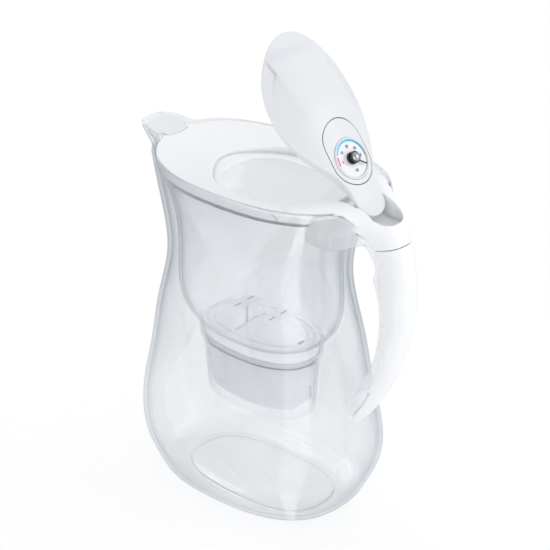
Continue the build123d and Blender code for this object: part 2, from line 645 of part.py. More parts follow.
def over_edge(lift):
    """Everything over the cap's lower edge, raised by lift."""
    return extrude(cap_profile(cap_arc(CAP_EDGE, lift), 60), 60, dir=(0, 1, 0), both=True)


def dial_place():
    """Place of the dial on the cap's top, tilted with the surface."""
    half = CAP_LENGTH / 2
    hinge, middle = CAP_TOP[:2]
    share = (half - DIAL_CENTRE) / half
    height = middle - (middle - hinge) * share ** 2
    slope = atan2(2 * (middle - hinge) * share, half)
    return Location((-DIAL_CENTRE, 0, CAP_RISE + height), (0, slope * 180 / pi, 0))


def across_dial(shape, z0=0.0):
    """A shape that stands on the dial's plane at z0, put in its place on the cap."""
    return dial_place() * Location((0, 0, z0)) * shape


def disc(radius, z0, z1):
    """Round disc on the dial's plane between two heights."""
    return across_dial(Cylinder(radius, z1 - z0), (z0 + z1) / 2)


def panel_prism(offset, z0, z1):
    """Long rounded outline of the indicator between two heights over the dial's plane."""
    half = PANEL_HALF_WIDTH + offset
    reach = PANEL_HALF_LENGTH - PANEL_HALF_WIDTH
    shift = DIAL_CENTRE - PANEL_CENTRE
    body = block(shift - reach, shift + reach, -half, half, z0, z1)
    for s in (-1, 1):
        body += Cylinder(half, z1 - z0).moved(Location((shift + s * reach, 0, (z0 + z1) / 2)))
    return across_dial(body)


def across_y(radius, half_length):
    return Cylinder(radius, 2 * half_length, rotation=(90, 0, 0))


POCKET_BASE = -POCKET_DEPTH - POCKET_FLOOR


def cap_shell():
    body = leaf_prism(0) & under_crown(0) & over_edge(0)
    hollow = leaf_prism(-CAP_WALL) & under_crown(CAP_WALL) & block(
        -BIG, -CAP_HOLLOW_START, -BIG, BIG, -BIG, BIG)
    hollow -= panel_prism(CAP_WALL, POCKET_BASE, BIG)
    barrel = across_y(KNUCKLE_RADIUS, CAP_NECK) + block(
        -KNUCKLE_RADIUS, KNUCKLE_RADIUS, -CAP_NECK, CAP_NECK, 0, CAP_RISE + CAP_TOP[0] - 1)
    pocket = panel_prism(PANEL_GAP, -POCKET_DEPTH, 10)
    bore = across_y(PIN_RADIUS + PIN_GAP, BIG)
    return body - hollow + barrel - pocket - bore


def cap_liner():
    plate = leaf_prism(-CAP_WALL - LINER_GAP) & over_edge(LINER_LIFT) & block(
        -BIG, -CAP_HOLLOW_START - LINER_GAP, -BIG, BIG, -BIG, BIG)
    return (plate & under_crown(CAP_WALL + LINER_GAP)) - over_edge(LINER_LIFT + LINER_THICKNESS)


def indicator_panel():
    body = panel_prism(0, -PANEL_THICKNESS, 6) & under_crown(0)
    well = disc(DIAL_RADIUS + DIAL_GAP, -DIAL_SINK - DIAL_THICKNESS, 6)
    return body - well - disc(SPINDLE_RADIUS + 0.5, -10, 0)


def indicator_back():
    top = -PANEL_THICKNESS - DIAL_GAP
    return panel_prism(0, top - BACK_THICKNESS, top) - disc(SPINDLE_RADIUS + SPINDLE_GAP, -10, 0)


def dial_plate():
    low = -DIAL_SINK - DIAL_THICKNESS + DIAL_GAP
    return disc(DIAL_RADIUS, low, -DIAL_SINK) - disc(SPINDLE_RADIUS + SPINDLE_GAP, -10, 0)


def dial_bezel():
    ring = disc(DIAL_RADIUS, -DIAL_SINK, -DIAL_SINK + BEZEL_HEIGHT)
    return ring - disc(DIAL_RADIUS - BEZEL_WIDTH, -10, 10)


KNOB_BASE = -DIAL_SINK + DIAL_GAP
KNOB_TOP = KNOB_BASE + KNOB_HEIGHT


def dial_knob():
    spindle = disc(SPINDLE_RADIUS, -PANEL_THICKNESS - BACK_THICKNESS, KNOB_BASE + 1)
    skirt = disc(KNOB_RADIUS, KNOB_BASE, KNOB_BASE + 1.4)
    hub = disc(DOME_RADIUS + 0.4, KNOB_BASE, KNOB_TOP)
    return spindle + skirt + hub


def knob_dome():
    rise = 1.6
    radius = (DOME_RADIUS ** 2 + rise ** 2) / (2 * rise)
    ball = across_dial(Sphere(radius), KNOB_TOP + rise - radius)
    return ball & disc(BIG, KNOB_TOP, KNOB_TOP + 2 * rise)


def dial_pointer():
    """Pointer that is clipped round the knob over its skirt."""
    low = KNOB_BASE + 1.4
    ring = Cylinder(DOME_RADIUS + 1.2, POINTER_THICKNESS) - Cylinder(DOME_RADIUS + 0.4, 4)
    arm = block(DOME_RADIUS + 0.8, POINTER_LENGTH, -POINTER_WIDTH / 2, POINTER_WIDTH / 2,
                -POINTER_THICKNESS / 2, POINTER_THICKNESS / 2)
    return across_dial((ring + arm).rotate(Axis.Z, -POINTER_ANGLE), low + POINTER_THICKNESS / 2)


def pivot_pin(x, z, radius, half_length):
    """Round pin across the jug with softly broken ends."""
    pin = across_y(radius, half_length)
    return chamfer(pin.edges().filter_by(GeomType.CIRCLE), radius / 5).moved(Location((x, 0, z)))


def hood():
    """White hood over the handle's top, with the two arms that run out into the lid."""
    jug_line = inside_handle_line().moved(Location((HOOD_GAP, 0, HOOD_GAP)))
    rim = jug_inside(-LID_GAP) - rim_room(LID_GAP) - rim_notch(-LID_GAP) \
        - above_rim().moved(Location((0, 0, LID_GAP)))
    under_lid = dish_sheet(LID_THICKNESS, 40) & rim_room(0)
    outside_wall = under_flanks(HOOD_GAP) - jug_inside(0)
    skin = handle_skin() - seam_side(False) - jug_line - outside_wall
    return skin - band_solid(HOOD_GAP) - rim - under_lid


def thumb_recess():
    """Channel for the cap's barrel and the hollow that the thumb reaches into."""
    channel = block(RECESS_START_X - 24, RECESS_START_X + 1, -CAP_NECK - NECK_MARGIN,
                    CAP_NECK + NECK_MARGIN, CHANNEL_FLOOR_Z, BIG)
    floor = Spline(*[(x, 0, z) for x, z in RECESS_FLOOR])
    start, end = floor @ 0, floor @ 1
    side = side_prism([floor, Line(end, (end.X, 0, BIG)), Line((end.X, 0, BIG), (start.X, 0, BIG)),
                       Line((start.X, 0, BIG), start)], BIG)
    half = RECESS_HALF_WIDTH
    centre = RECESS_END_X - half
    plan = block(RECESS_START_X, centre, -half, half, 250, BIG) + Cylinder(half, 80).moved(
        Location((centre, 0, 290)))
    return channel + (side & plan)


def cap_seat():
    """Body of the recessed border that the closed cap lies on."""
    wall = OPENING_MARGIN + LEDGE_THICKNESS
    seat = leaf_prism(wall) & over_edge(-LEDGE_GAP - LEDGE_THICKNESS)
    seat &= block(-BIG, -OPENING_START + OPENING_BORDER, -BIG, BIG, -BIG, BIG)
    return (cap_place(0) * seat) & dish_sheet(0, 40)


def cap_room():
    """Room that the closed cap and the filling opening take in the lid."""
    leaf = leaf_prism(OPENING_MARGIN) & block(-BIG, -CAP_HOLLOW_START, -BIG, BIG, -BIG, BIG)
    over = (leaf + leaf_prism(NECK_MARGIN)) & over_edge(-LEDGE_GAP)
    through = leaf_prism(-OPENING_BORDER) & block(-BIG, -OPENING_START, -BIG, BIG, -BIG, BIG)
    return cap_place(0) * (over + through)


def flap_lugs():
    """Two lugs at the lid's front corners that hold the pour flap's pin."""
    low, high = FLAP_PIN_Z - FLAP_BARREL_RADIUS, FLAP_PIN_Z + FLAP_BARREL_RADIUS
    return [block(LUG_FRONT_X, LUG_BACK_X, LUG_INNER, LUG_OUTER, low, high),
            block(LUG_FRONT_X, LUG_BACK_X, -LUG_OUTER, -LUG_INNER, low, high)]


def lid_cover():
    plate = dish_sheet(0, LID_THICKNESS) & rim_room(LID_GAP)
    plate = plate - flap_back(0) - block(-BIG, LUG_FRONT_X, -BIG, BIG, 0, BIG)
    lid = plate + hood() + cap_seat() + flap_lugs() - cap_room() - thumb_recess()
    pins = across_y(PIN_RADIUS + PIN_GAP, PIN_HALF_LENGTH + 0.3).moved(
        Location((HINGE_X, 0, HINGE_Z)))
    flap_pins = across_y(FLAP_PIN_RADIUS + PIN_GAP, BIG).moved(
        Location((FLAP_PIN_X, 0, FLAP_PIN_Z)))
    return lid - pins - flap_pins


def lid_ring(inset, wall, z0, z1):
    """Ring that follows the rim's inside, between two heights."""
    ring = jug_inside(JUG_WALL - LEDGE_WIDTH + inset) - jug_inside(
        JUG_WALL - LEDGE_WIDTH + inset + wall)
    return ring & block(-BIG, BIG, -BIG, BIG, z0, z1)


SKIRT_BOTTOM_Z = LEDGE_Z + FLANGE_THICKNESS + SKIRT_GAP


def lid_skirt():
    """Ring under the lid that centres it, open at the handle."""
    ring = lid_ring(LID_GAP + SKIRT_INSET, SKIRT_WALL, SKIRT_BOTTOM_Z, RIM_Z)
    ring = ring & dish_sheet(LID_THICKNESS + 0.05, 40)
    ends = side_prism(side_points((SKIRT_END_X, SKIRT_BOTTOM_Z - 1),
                                  (SKIRT_END_X - SKIRT_SLANT, RIM_Z), (BIG, RIM_Z),
                                  (BIG, SKIRT_BOTTOM_Z - 1)), BIG)
    flap_room = block(-BIG, FLAP_BACK_X + SKIRT_WALL, -LUG_OUTER, LUG_OUTER,
                      FLAP_PIN_Z - SKIRT_DIP, BIG)
    return ring - ends - flap_room


def pour_flap():
    plate = dish_sheet(0, FLAP_THICKNESS) & rim_room(LID_GAP) & flap_back(-FLAP_GAP)
    side = LUG_INNER - 0.3
    for s in (-1, 1):
        plate -= block(LUG_FRONT_X - 0.6, 0, min(s * side, s * BIG), max(s * side, s * BIG), 0, BIG)
    barrel = across_y(FLAP_BARREL_RADIUS, side).moved(Location((FLAP_PIN_X, 0, FLAP_PIN_Z)))
    bore = across_y(FLAP_PIN_RADIUS + PIN_GAP, BIG).moved(Location((FLAP_PIN_X, 0, FLAP_PIN_Z)))
    return plate + barrel - bore


def on_cap(maker):
    """A piece of the cap in the standing-open place."""
    return lambda: cap_place(CAP_OPEN_ANGLE) * maker()


PIECES = {
    "jug_body": jug_body,
    "handle_grip": handle_grip,
    "water_chamber": water_chamber,
    "well_grommet": well_grommet,
    "cartridge_case": cartridge_case,
    "cartridge_lid": cartridge_lid,
    "cartridge_top_mesh": lambda: mesh_disc(TOP_MESH_Z),
    "cartridge_bottom_mesh": lambda: mesh_disc(BOTTOM_MESH_Z),
    "filter_media": filter_media,
    "lid_cover": lid_cover,
    "lid_skirt": lid_skirt,
    "cap_shell": on_cap(cap_shell),
    "cap_liner": on_cap(cap_liner),
    "cap_hinge_pin": lambda: pivot_pin(HINGE_X, HINGE_Z, PIN_RADIUS, PIN_HALF_LENGTH),
    "indicator_panel": on_cap(indicator_panel),
    "indicator_back": on_cap(indicator_back),
    "dial_plate": on_cap(dial_plate),
    "dial_bezel": on_cap(dial_bezel),
    "dial_knob": on_cap(dial_knob),
    "knob_dome": on_cap(knob_dome),
    "dial_pointer": on_cap(dial_pointer),
    "pour_flap": pour_flap,
    "pour_flap_pin": lambda: pivot_pin(FLAP_PIN_X, FLAP_PIN_Z, FLAP_PIN_RADIUS,
                                       FLAP_PIN_HALF_LENGTH),
}


if __name__ == "__main__":
    os.makedirs("parts", exist_ok=True)
    for name, make in PIECES.items():
        export_step(make(), f"parts/{name}.step")
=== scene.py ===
import json
from math import cos, sin, pi, radians, hypot, atan2, sqrt

import bmesh
import bpy
from mathutils import Matrix, Vector
from mathutils.bvhtree import BVHTree


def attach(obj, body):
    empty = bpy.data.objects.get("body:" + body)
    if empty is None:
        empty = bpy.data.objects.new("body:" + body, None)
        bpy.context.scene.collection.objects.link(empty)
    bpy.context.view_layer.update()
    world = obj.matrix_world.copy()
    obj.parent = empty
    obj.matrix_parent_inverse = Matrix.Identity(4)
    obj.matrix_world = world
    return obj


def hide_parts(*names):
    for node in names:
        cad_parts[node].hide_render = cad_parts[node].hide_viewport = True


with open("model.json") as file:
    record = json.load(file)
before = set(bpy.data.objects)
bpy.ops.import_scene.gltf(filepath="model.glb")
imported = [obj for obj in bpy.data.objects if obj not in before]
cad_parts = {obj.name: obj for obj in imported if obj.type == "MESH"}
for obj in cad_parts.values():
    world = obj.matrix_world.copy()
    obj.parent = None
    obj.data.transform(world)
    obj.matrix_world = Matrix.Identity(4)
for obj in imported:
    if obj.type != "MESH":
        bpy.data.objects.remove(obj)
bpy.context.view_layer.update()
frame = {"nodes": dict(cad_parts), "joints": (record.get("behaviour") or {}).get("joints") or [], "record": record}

bl_info = {
    "name": "Water Filter Pitcher",
    "version": (1, 0, 0),
    "blender": (4, 5, 0),
    "location": "View3D > Sidebar > Pitcher",
    "description": "Dresses the packed filter pitcher with smooth pieces, plastics and a studio",
    "category": "Object",
}

MM = 0.001
NODES = frame["nodes"]
JOINTS = {j["name"]: j for j in frame["joints"]}
BODY_OF = {node: body for body, nodes in frame["record"]["behaviour"]["bodies"].items()
           for node in nodes}


# Sizes and colours that a user would change

class PitcherView(bpy.types.PropertyGroup):
    azimuth: bpy.props.FloatProperty(
        name="Azimuth", description="Side that the camera looks from", default=radians(41.885),
        subtype="ANGLE")
    elevation: bpy.props.FloatProperty(
        name="Elevation", description="How far the camera looks down", default=radians(27.902),
        subtype="ANGLE")
    roll: bpy.props.FloatProperty(
        name="Roll", description="Turn of the camera about its own line of sight",
        default=radians(-0.501), subtype="ANGLE")
    distance: bpy.props.FloatProperty(
        name="Distance", description="From the camera to the middle of the pitcher",
        default=1.54233, unit="LENGTH")
    target: bpy.props.FloatVectorProperty(
        name="Target", description="Point in the middle of the picture",
        default=(0.01209, 0.00457, 0.184648), size=3, subtype="TRANSLATION")
    lens: bpy.props.FloatProperty(
        name="Lens", description="Focal length in millimetres", default=131.37, min=20, max=300)
    air: bpy.props.FloatProperty(
        name="Air", description="Soft light from all round", default=0.89, min=0, max=2)
    lamps: bpy.props.FloatProperty(
        name="Lamps", description="Strength of the three lamps", default=1.15, min=0, max=5)


def tint(name, description, default):
    """A colour that the user can change."""
    return bpy.props.FloatVectorProperty(
        name=name, description=description, default=default, size=3, min=0, max=1,
        subtype="COLOR")


class PitcherColours(bpy.types.PropertyGroup):
    white: tint("White plastic", "Lid, grip and the cap's liner", (0.87, 0.875, 0.885))
    cap: tint("Cap", "Standing cap and its panel", (0.72, 0.728, 0.745))
    cartridge: tint("Cartridge lid", "White lid of the cartridge", (0.93, 0.935, 0.94))
    grey_case: tint("Cartridge case", "Grey case under the cartridge's lid", (0.72, 0.73, 0.755))
    flap: tint("Pour flap", "Pale grey flap in the spout", (0.76, 0.77, 0.79))
    skirt: tint("Lid skirt", "Grey ring under the lid", (0.70, 0.72, 0.75))
    clear: tint("Clear plastic", "Tint of the jug and the water chamber", (0.984, 0.987, 0.991))
    clear_edge: tint("Clear plastic, at a slant", "Tint of the clear walls seen edge on",
                     (0.36, 0.43, 0.52))
    arc_blue: tint("Blue arc", "Long arc of the dial", (0.0, 0.56, 0.84))
    arc_red: tint("Magenta arc", "Short arc of the dial", (0.80, 0.0, 0.13))


# Shader helpers

class Sock:
    """A shader socket that can be used in sums, products and comparisons."""

    def __init__(self, mat, out):
        self.mat, self.out = mat, out

    def _math(self, op, *others, swap=False):
        args = [self, *others]
        if swap:
            args = [others[0], self, *others[1:]]
        return self.mat.node("ShaderNodeMath", dict(operation=op),
                             {i: a for i, a in enumerate(args)})

    def __add__(self, o): return self._math("ADD", o)
    def __sub__(self, o): return self._math("SUBTRACT", o)
    def __rsub__(self, o): return self._math("SUBTRACT", o, swap=True)
    def __mul__(self, o): return self._math("MULTIPLY", o)
    def __truediv__(self, o): return self._math("DIVIDE", o)
    def __pow__(self, o): return self._math("POWER", o)
    def __lt__(self, o): return self._math("LESS_THAN", o)
    def __gt__(self, o): return self._math("GREATER_THAN", o)
    def least(self, o): return self._math("MINIMUM", o)
    def most(self, o): return self._math("MAXIMUM", o)
    def clamp(self): return self.most(0.0).least(1.0)


class Surface:
    """A node material, with one method that makes every node."""

    def __init__(self, name, air=None):
        self.material = air or bpy.data.materials.new(name)
        self.material.use_nodes = True
        self.tree = self.material.node_tree
        self.tree.nodes.clear()

    def node(self, kind, settings=None, inputs=None, output=0):
        made = self.tree.nodes.new(kind)
        for key, value in (settings or {}).items():
            setattr(made, key, value)
        for key, value in (inputs or {}).items():
            socket = made.inputs[key]
            if isinstance(value, Sock):
                self.tree.links.new(value.out, socket)
            elif isinstance(value, (tuple, list)) and socket.type == "RGBA" and len(value) == 3:
                socket.default_value = (*value, 1.0)
            else:
                socket.default_value = value
        return Sock(self, made.outputs[output]) if made.outputs else None

    def place(self):
        return self.node("ShaderNodeTexCoord", output="Object")

    def noise(self, scale, detail):
        return self.node("ShaderNodeTexNoise", dict(noise_dimensions="3D"),
                         {"Vector": self.place(), "Scale": scale, "Detail": detail},
                         output="Fac")

    def mix(self, factor, a, b):
        return self.node("ShaderNodeMix", dict(data_type="RGBA"),
                         {"Factor": factor, 6: a, 7: b}, output=2)

    def bump(self, height, strength, distance=0.0002):
        return self.node("ShaderNodeBump", None, {
            "Height": height, "Strength": strength, "Distance": distance})

    def parts_of(self, vector):
        """The three numbers of a vector."""
        split = self.node("ShaderNodeSeparateXYZ", None, {"Vector": vector}).out.node
        return [Sock(self, split.outputs[i]) for i in range(3)]

    def rays(self, *names):
        """What is known of the ray of light that meets the surface, in numbers."""
        path = self.node("ShaderNodeLightPath").out.node
        return [Sock(self, path.outputs[name]) for name in names]

    def output(self, surface):
        self.node("ShaderNodeOutputMaterial", None, {"Surface": surface})
        return self.material

    def finish(self, **inputs):
        names = {key.replace("_", " ").title().replace("Ior", "IOR"): value
                 for key, value in inputs.items()}
        return self.output(self.node("ShaderNodeBsdfPrincipled", None, names))


FLOW_SHADE = 0.97                 # colour of the flow marks in moulded plastic
# painted shade in hollows and painted highlight on ridges, as shares of the colour; PALEST caps the highlight
PAINTED_HOLLOW_SHADE, PAINTED_RIDGE_HIGHLIGHT = 0.30, 1.2
PALEST = 0.98
PLASTIC_IOR, GLASS_IOR = 1.5, 1.42
SLANT_POWER, MIRROR_POWER = 5.5, 5.0
LEAST_MIRROR = 0.04               # share that a clear wall reflects when seen straight on
# colour of the painted shade lines on the clear jug, round its foot and at the rim under the lid's edge
PAINTED_LINE_SHADE = (0.26, 0.28, 0.31)


def moulded(name, colour, roughness=0.34, grain=2600.0, strength=0.08, lit=0.0, depth=0.0):
    """Moulded plastic: fine grain, flow marks; depth paints shade in hollows, light on ridges."""
    s = Surface(name)
    flow = s.noise(26.0, 4.0)
    fine = s.noise(grain, 2.0)
    darker = tuple(c * FLOW_SHADE for c in colour)
    base = s.mix(flow, darker, tuple(colour))
    # depth paints shade into the hollows and a highlight onto the ridges, read from the hollow marks
    if depth:
        hollow = s.node("ShaderNodeAttribute", dict(attribute_name="hollow"), output="Fac")
        base = s.mix((hollow * (6.0 * depth)).clamp(), base,
                     tuple(c * PAINTED_HOLLOW_SHADE for c in colour))
        base = s.mix((hollow * (-5.0 * depth)).clamp(), base,
                     tuple(min(c * PAINTED_RIDGE_HIGHLIGHT, PALEST) for c in colour))
    # lit is a painted glow: the plastic gives off light in its own colour, so it looks more brightly lit
    return s.finish(base_color=base,
                    roughness=flow * 0.10 + fine * 0.05 + (roughness - 0.075),
                    normal=s.bump(fine, strength), ior=PLASTIC_IOR,
                    emission_color=tuple(colour), emission_strength=lit)


def clear(name, colour, edge, bend=0.0, ripple=0.05, gloss=1.0, milky_glow=0.0):
    """Clear wall: a tint that deepens at a slant, a skin that reflects, and part true glass."""
    s = Surface(name)
    slow = s.noise(9.0, 1.0)
    facing = s.node("ShaderNodeLayerWeight", None, {"Blend": 0.5}, output="Facing")
    # painted shade lines marked on the jug's rings
    line = s.node("ShaderNodeAttribute", dict(attribute_name="line"), output="Fac")
    slant = facing ** SLANT_POWER
    tone = s.mix(slant, s.mix(slow, tuple(c * 0.992 for c in colour), tuple(colour)),
                 tuple(edge))
    wall = s.node("ShaderNodeBsdfTransparent", None, {
        "Color": s.mix(line, tone, PAINTED_LINE_SHADE)})
    relief = s.bump(slow, ripple, 0.004)
    if bend:
        glass = s.node("ShaderNodeBsdfPrincipled", None, {
            "Base Color": tuple(colour), "Roughness": slow * 0.01 + 0.015, "Normal": relief,
            "Transmission Weight": 1.0, "IOR": GLASS_IOR})
        wall = s.node("ShaderNodeMixShader", None, {0: bend, 1: wall, 2: glass})
    # a share of milky plastic whose emission is painted light that lightens the clear wall
    if milky_glow:
        milky_glow_shader = s.node("ShaderNodeBsdfPrincipled", None, {
            "Base Color": s.mix(slow, (0.80, 0.82, 0.84), (0.86, 0.87, 0.88)),
            "Roughness": slow * 0.1 + 0.2, "Emission Color": (0.8, 0.83, 0.86),
            "Emission Strength": 0.2})
        wall = s.node("ShaderNodeMixShader", None, {0: milky_glow, 1: wall, 2: milky_glow_shader})
    skin = s.node("ShaderNodeBsdfPrincipled", None, {
        "Base Color": s.mix(slow, (0.93, 0.95, 0.97), (0.97, 0.98, 0.99)), "Metallic": 1.0,
        "Roughness": slow * 0.03 + 0.03, "Normal": relief})
    mirror = (facing ** MIRROR_POWER * (1 - LEAST_MIRROR) + LEAST_MIRROR) * gloss
    both = s.node("ShaderNodeMixShader", None, {0: mirror.clamp(), 1: wall, 2: skin})
    lamp = s.node("ShaderNodeLightPath", output="Is Shadow Ray")
    tint = s.node("ShaderNodeBsdfTransparent", None, {"Color": tuple(colour)})
    return s.output(s.node("ShaderNodeMixShader", None, {0: lamp, 1: both, 2: tint}))


def bright(name, colour):
    """Polished metal."""
    s = Surface(name)
    fine = s.noise(900.0, 2.0)
    return s.finish(base_color=tuple(colour), metallic=1.0, roughness=fine * 0.06 + 0.12)


def pick(piece):
    bpy.ops.object.select_all(action="DESELECT")
    piece.select_set(True)
    bpy.context.view_layer.objects.active = piece


def apply(piece, kind, **settings):
    """Puts a modifier on a piece and applies it at once."""
    pick(piece)
    tool = piece.modifiers.new(kind.lower(), kind)
    for key, value in settings.items():
        setattr(tool, key, value)
    bpy.ops.object.modifier_apply(modifier=tool.name)
    return piece


def cut(piece, other, operation):
    """Joins or cuts a piece with another solid, which is used up."""
    apply(piece, "BOOLEAN", operation=operation, solver="EXACT", object=other)
    bpy.data.objects.remove(other, do_unlink=True)
    return piece


def clean(piece, merge=0.0):
    """Merges a piece's doubled points, if asked, and turns its faces outwards."""
    pick(piece)
    bpy.ops.object.mode_set(mode="EDIT")
    bpy.ops.mesh.select_all(action="SELECT")
    if merge:
        bpy.ops.mesh.remove_doubles(threshold=merge)
    bpy.ops.mesh.normals_make_consistent(inside=False)
    bpy.ops.object.mode_set(mode="OBJECT")
    return piece


def copy_of(node, name):
    """Merged copy of a solid from the frame, as a start for a piece with soft edges."""
    piece = bpy.data.objects.new(name, NODES[node].data.copy())
    bpy.context.scene.collection.objects.link(piece)
    return clean(piece, merge=0.00001)


def stand_for(piece, node, material):
    """Lets a piece take the place of a solid, and move as it does."""
    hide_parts(node)
    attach(piece, BODY_OF[node])
    give(piece, material)


def softened(node, name, voxel, rounds, material, shape=None):
    """Moulded twin of a solid: even small faces, edges rounded, and shaped further if asked."""
    piece = copy_of(node, name) if isinstance(name, str) else name
    apply(piece, "REMESH", mode="VOXEL", voxel_size=voxel * MM, use_smooth_shade=True)
    if shape:
        for v in piece.data.vertices:
            v.co = Vector(shape(*(v.co / MM))) * MM
    apply(piece, "SMOOTH", factor=0.5, iterations=rounds)
    mark_hollows(piece)
    stand_for(piece, node, material)
    return piece


HOLLOW_SPREAD = 2                 # how often the marks are evened out with their neighbours


def mark_hollows(piece):
    """Marks how hollow or ridged a dense piece is at each point, for painted shade and highlights."""
    mesh = bmesh.new()
    mesh.from_mesh(piece.data)
    mesh.normal_update()
    near = [[e.other_vert(v) for e in v.link_edges] for v in mesh.verts]
    depths = [sum((o.co - v.co).normalized().dot(v.normal) for o in others)
              / max(len(others), 1) for v, others in zip(mesh.verts, near)]
    for _ in range(HOLLOW_SPREAD):
        depths = [(d + sum(depths[o.index] for o in others) / max(len(others), 1)) / 2
                  for d, others in zip(depths, near)]
    mesh.free()
    marks = piece.data.attributes.new("hollow", "FLOAT", "POINT")
    marks.data.foreach_set("value", depths)


def mark_where(piece, dark):
    """Paints extra shade into a piece's hollow marks where a rule of the place, in millimetres, says so."""
    marks = piece.data.attributes["hollow"].data
    for v, mark in zip(piece.data.vertices, marks):
        depth = dark(v.co / MM)
        if depth:
            mark.value = max(mark.value, depth)


# strength of the painted shade along the joint of two pieces
SEAM_PAINTED_SHADE = 0.45


def paint_seam_shade(piece, other, reach):
    """Paints shade into a piece along its joint with another one, where the gap lies in shadow."""
    tree = BVHTree.FromObject(other, bpy.context.evaluated_depsgraph_get())

    def dark(place):
        gap = tree.find_nearest(place * MM, reach * MM)[3]
        return 0.0 if gap is None else SEAM_PAINTED_SHADE * (1 - gap / MM / reach)
    mark_where(piece, dark)


# the painted shade lines: fainter on the far side, and fading into the spout along the rim
FAR_SIDE_Y, FAR_SHARE = 20.0, 0.4    # the far side's lines are fainter
SPOUT_X, SPOUT_RUN, RIM_LINES_Z = 78.0, 25.0, 200.0    # the rim's lines fade into the spout


def mark_painted_lines(piece, strengths):
    """Marks rings of a grown piece, by their number, with dark lines of painted shade."""
    marks = piece.data.attributes.new("line", "FLOAT", "POINT")
    for i, mark in enumerate(marks.data):
        place = piece.data.vertices[i].co / MM
        near = 1.0 if place.y < FAR_SIDE_Y else FAR_SHARE
        if place.z > RIM_LINES_Z:
            near *= ease((place.x + SPOUT_X) / SPOUT_RUN)
        mark.value = strengths.get(i // RING_POINTS, 0.0) * near


def give(obj, material):
    obj.data.materials.clear()
    obj.data.materials.append(material)


def colours():
    return bpy.context.scene.pitcher_colours


# Outlines of the pitcher, in millimetres, as the frame's solids have them

JUG_ROWS = [  # height, half length, half width, middle
    (0.0, 70.0, 42.0, 0.0), (3.5, 80.0, 53.5, 0.0), (12.0, 89.5, 63.5, 0.0),
    (35.0, 101.0, 71.1, 0.0), (65.0, 106.5, 68.5, 0.0), (105.0, 99.5, 61.0, 0.0),
    (150.0, 91.4, 54.5, 0.0), (195.0, 80.7, 49.5, 0.0), (235.0, 85.0, 52.5, 1.0),
    (265.0, 94.5, 60.0, 7.5), (296.0, 106.0, 68.0, 17.0)]
NOSE_ROWS = [(222.0, -76.0, 0.80), (256.0, -94.5, 0.90), (296.0, -122.5, 1.0)]
NOSE_OUTLINE = [(0.0, 0.0), (0.5, 5.5), (2.2, 11.5), (8.0, 17.2), (20.0, 20.2), (32.0, 24.5),
                (44.0, 32.5), (58.0, 42.0)]
JUG_POWER = 2.36
RIM_Z, RIM_RISE, RISE_START = 279.0, 7.0, -30.0
LEDGE_Z, WALL, THIN_WALL, FLOOR_Z = 265.0, 3.0, 1.8, 5.6
RING_POINTS = 192
NOSE_START_Z, NOSE_TURN = 215, 0.62    # below and beside these the wall is a plain oval
NOSE_LENGTH, NOSE_STEPS, NOSE_CROWDING = 58.0, 58, 1.7
NOSE_BLEND = 3.0
FOOT_HEIGHT, FOOT_SQUARE = 12, 0.24    # the wall gets squarer towards the foot
HOOD_X = 60
RIM_DIPS = [(2.0, 33.0, 5), (8.5, 23.0, 6)]    # depth, half width and run-out under the hood
FOOT_HALF_LENGTH, FOOT_HALF_WIDTH, FOOT_POWER = 65.5, 36.4, 2.6
FOOT_ROWS = [(0.5, 1.6), (0.985, 1.6), (0.997, 1.35), (1.0, 0.8), (1.004, 0.2), (1.012, 0.0)]
WIDE_STEP, FINE_STEP = 3.4, 2.2        # between rings, below and at the spout
LEVEL = 400.0                          # start of the rim's slope for rings that stay level


def curve_through(rows):
    """Natural smooth curve through rows of numbers, read by the first number of each."""
    n, width = len(rows), len(rows[0]) - 1
    x = [row[0] for row in rows]
    h = [x[i + 1] - x[i] for i in range(n - 1)]
    bends = []
    for k in range(1, width + 1):
        y = [row[k] for row in rows]
        c, d = [0.0] * n, [0.0] * n
        for i in range(1, n - 1):
            pull = 6 * ((y[i + 1] - y[i]) / h[i] - (y[i] - y[i - 1]) / h[i - 1])
            div = 2 * (h[i - 1] + h[i]) - h[i - 1] * c[i - 1]
            c[i] = h[i] / div
            d[i] = (pull - h[i - 1] * d[i - 1]) / div
        m = [0.0] * n
        for i in range(n - 2, 0, -1):
            m[i] = d[i] - c[i] * m[i + 1]
        bends.append((y, m))

    def at(t):
        i = max(j for j in range(n - 1) if j == 0 or x[j] <= t)
        a, b = (x[i + 1] - t) / h[i], (t - x[i]) / h[i]
        return [a * y[i] + b * y[i + 1]
                + ((a ** 3 - a) * m[i] + (b ** 3 - b) * m[i + 1]) * h[i] ** 2 / 6
                for y, m in bends]
    return at


jug_size = curve_through(JUG_ROWS)
nose_size = curve_through(NOSE_ROWS)
nose_side = curve_through(NOSE_OUTLINE)


def ease(t):
    t = min(max(t, 0.0), 1.0)
    return t * t * (3 - 2 * t)


def oval_reach(angle, a, b, power):
    """Distance from the middle to a squared ellipse's edge, in one direction."""
    return (abs(cos(angle) / a) ** power + abs(sin(angle) / b) ** power) ** (-1 / power)


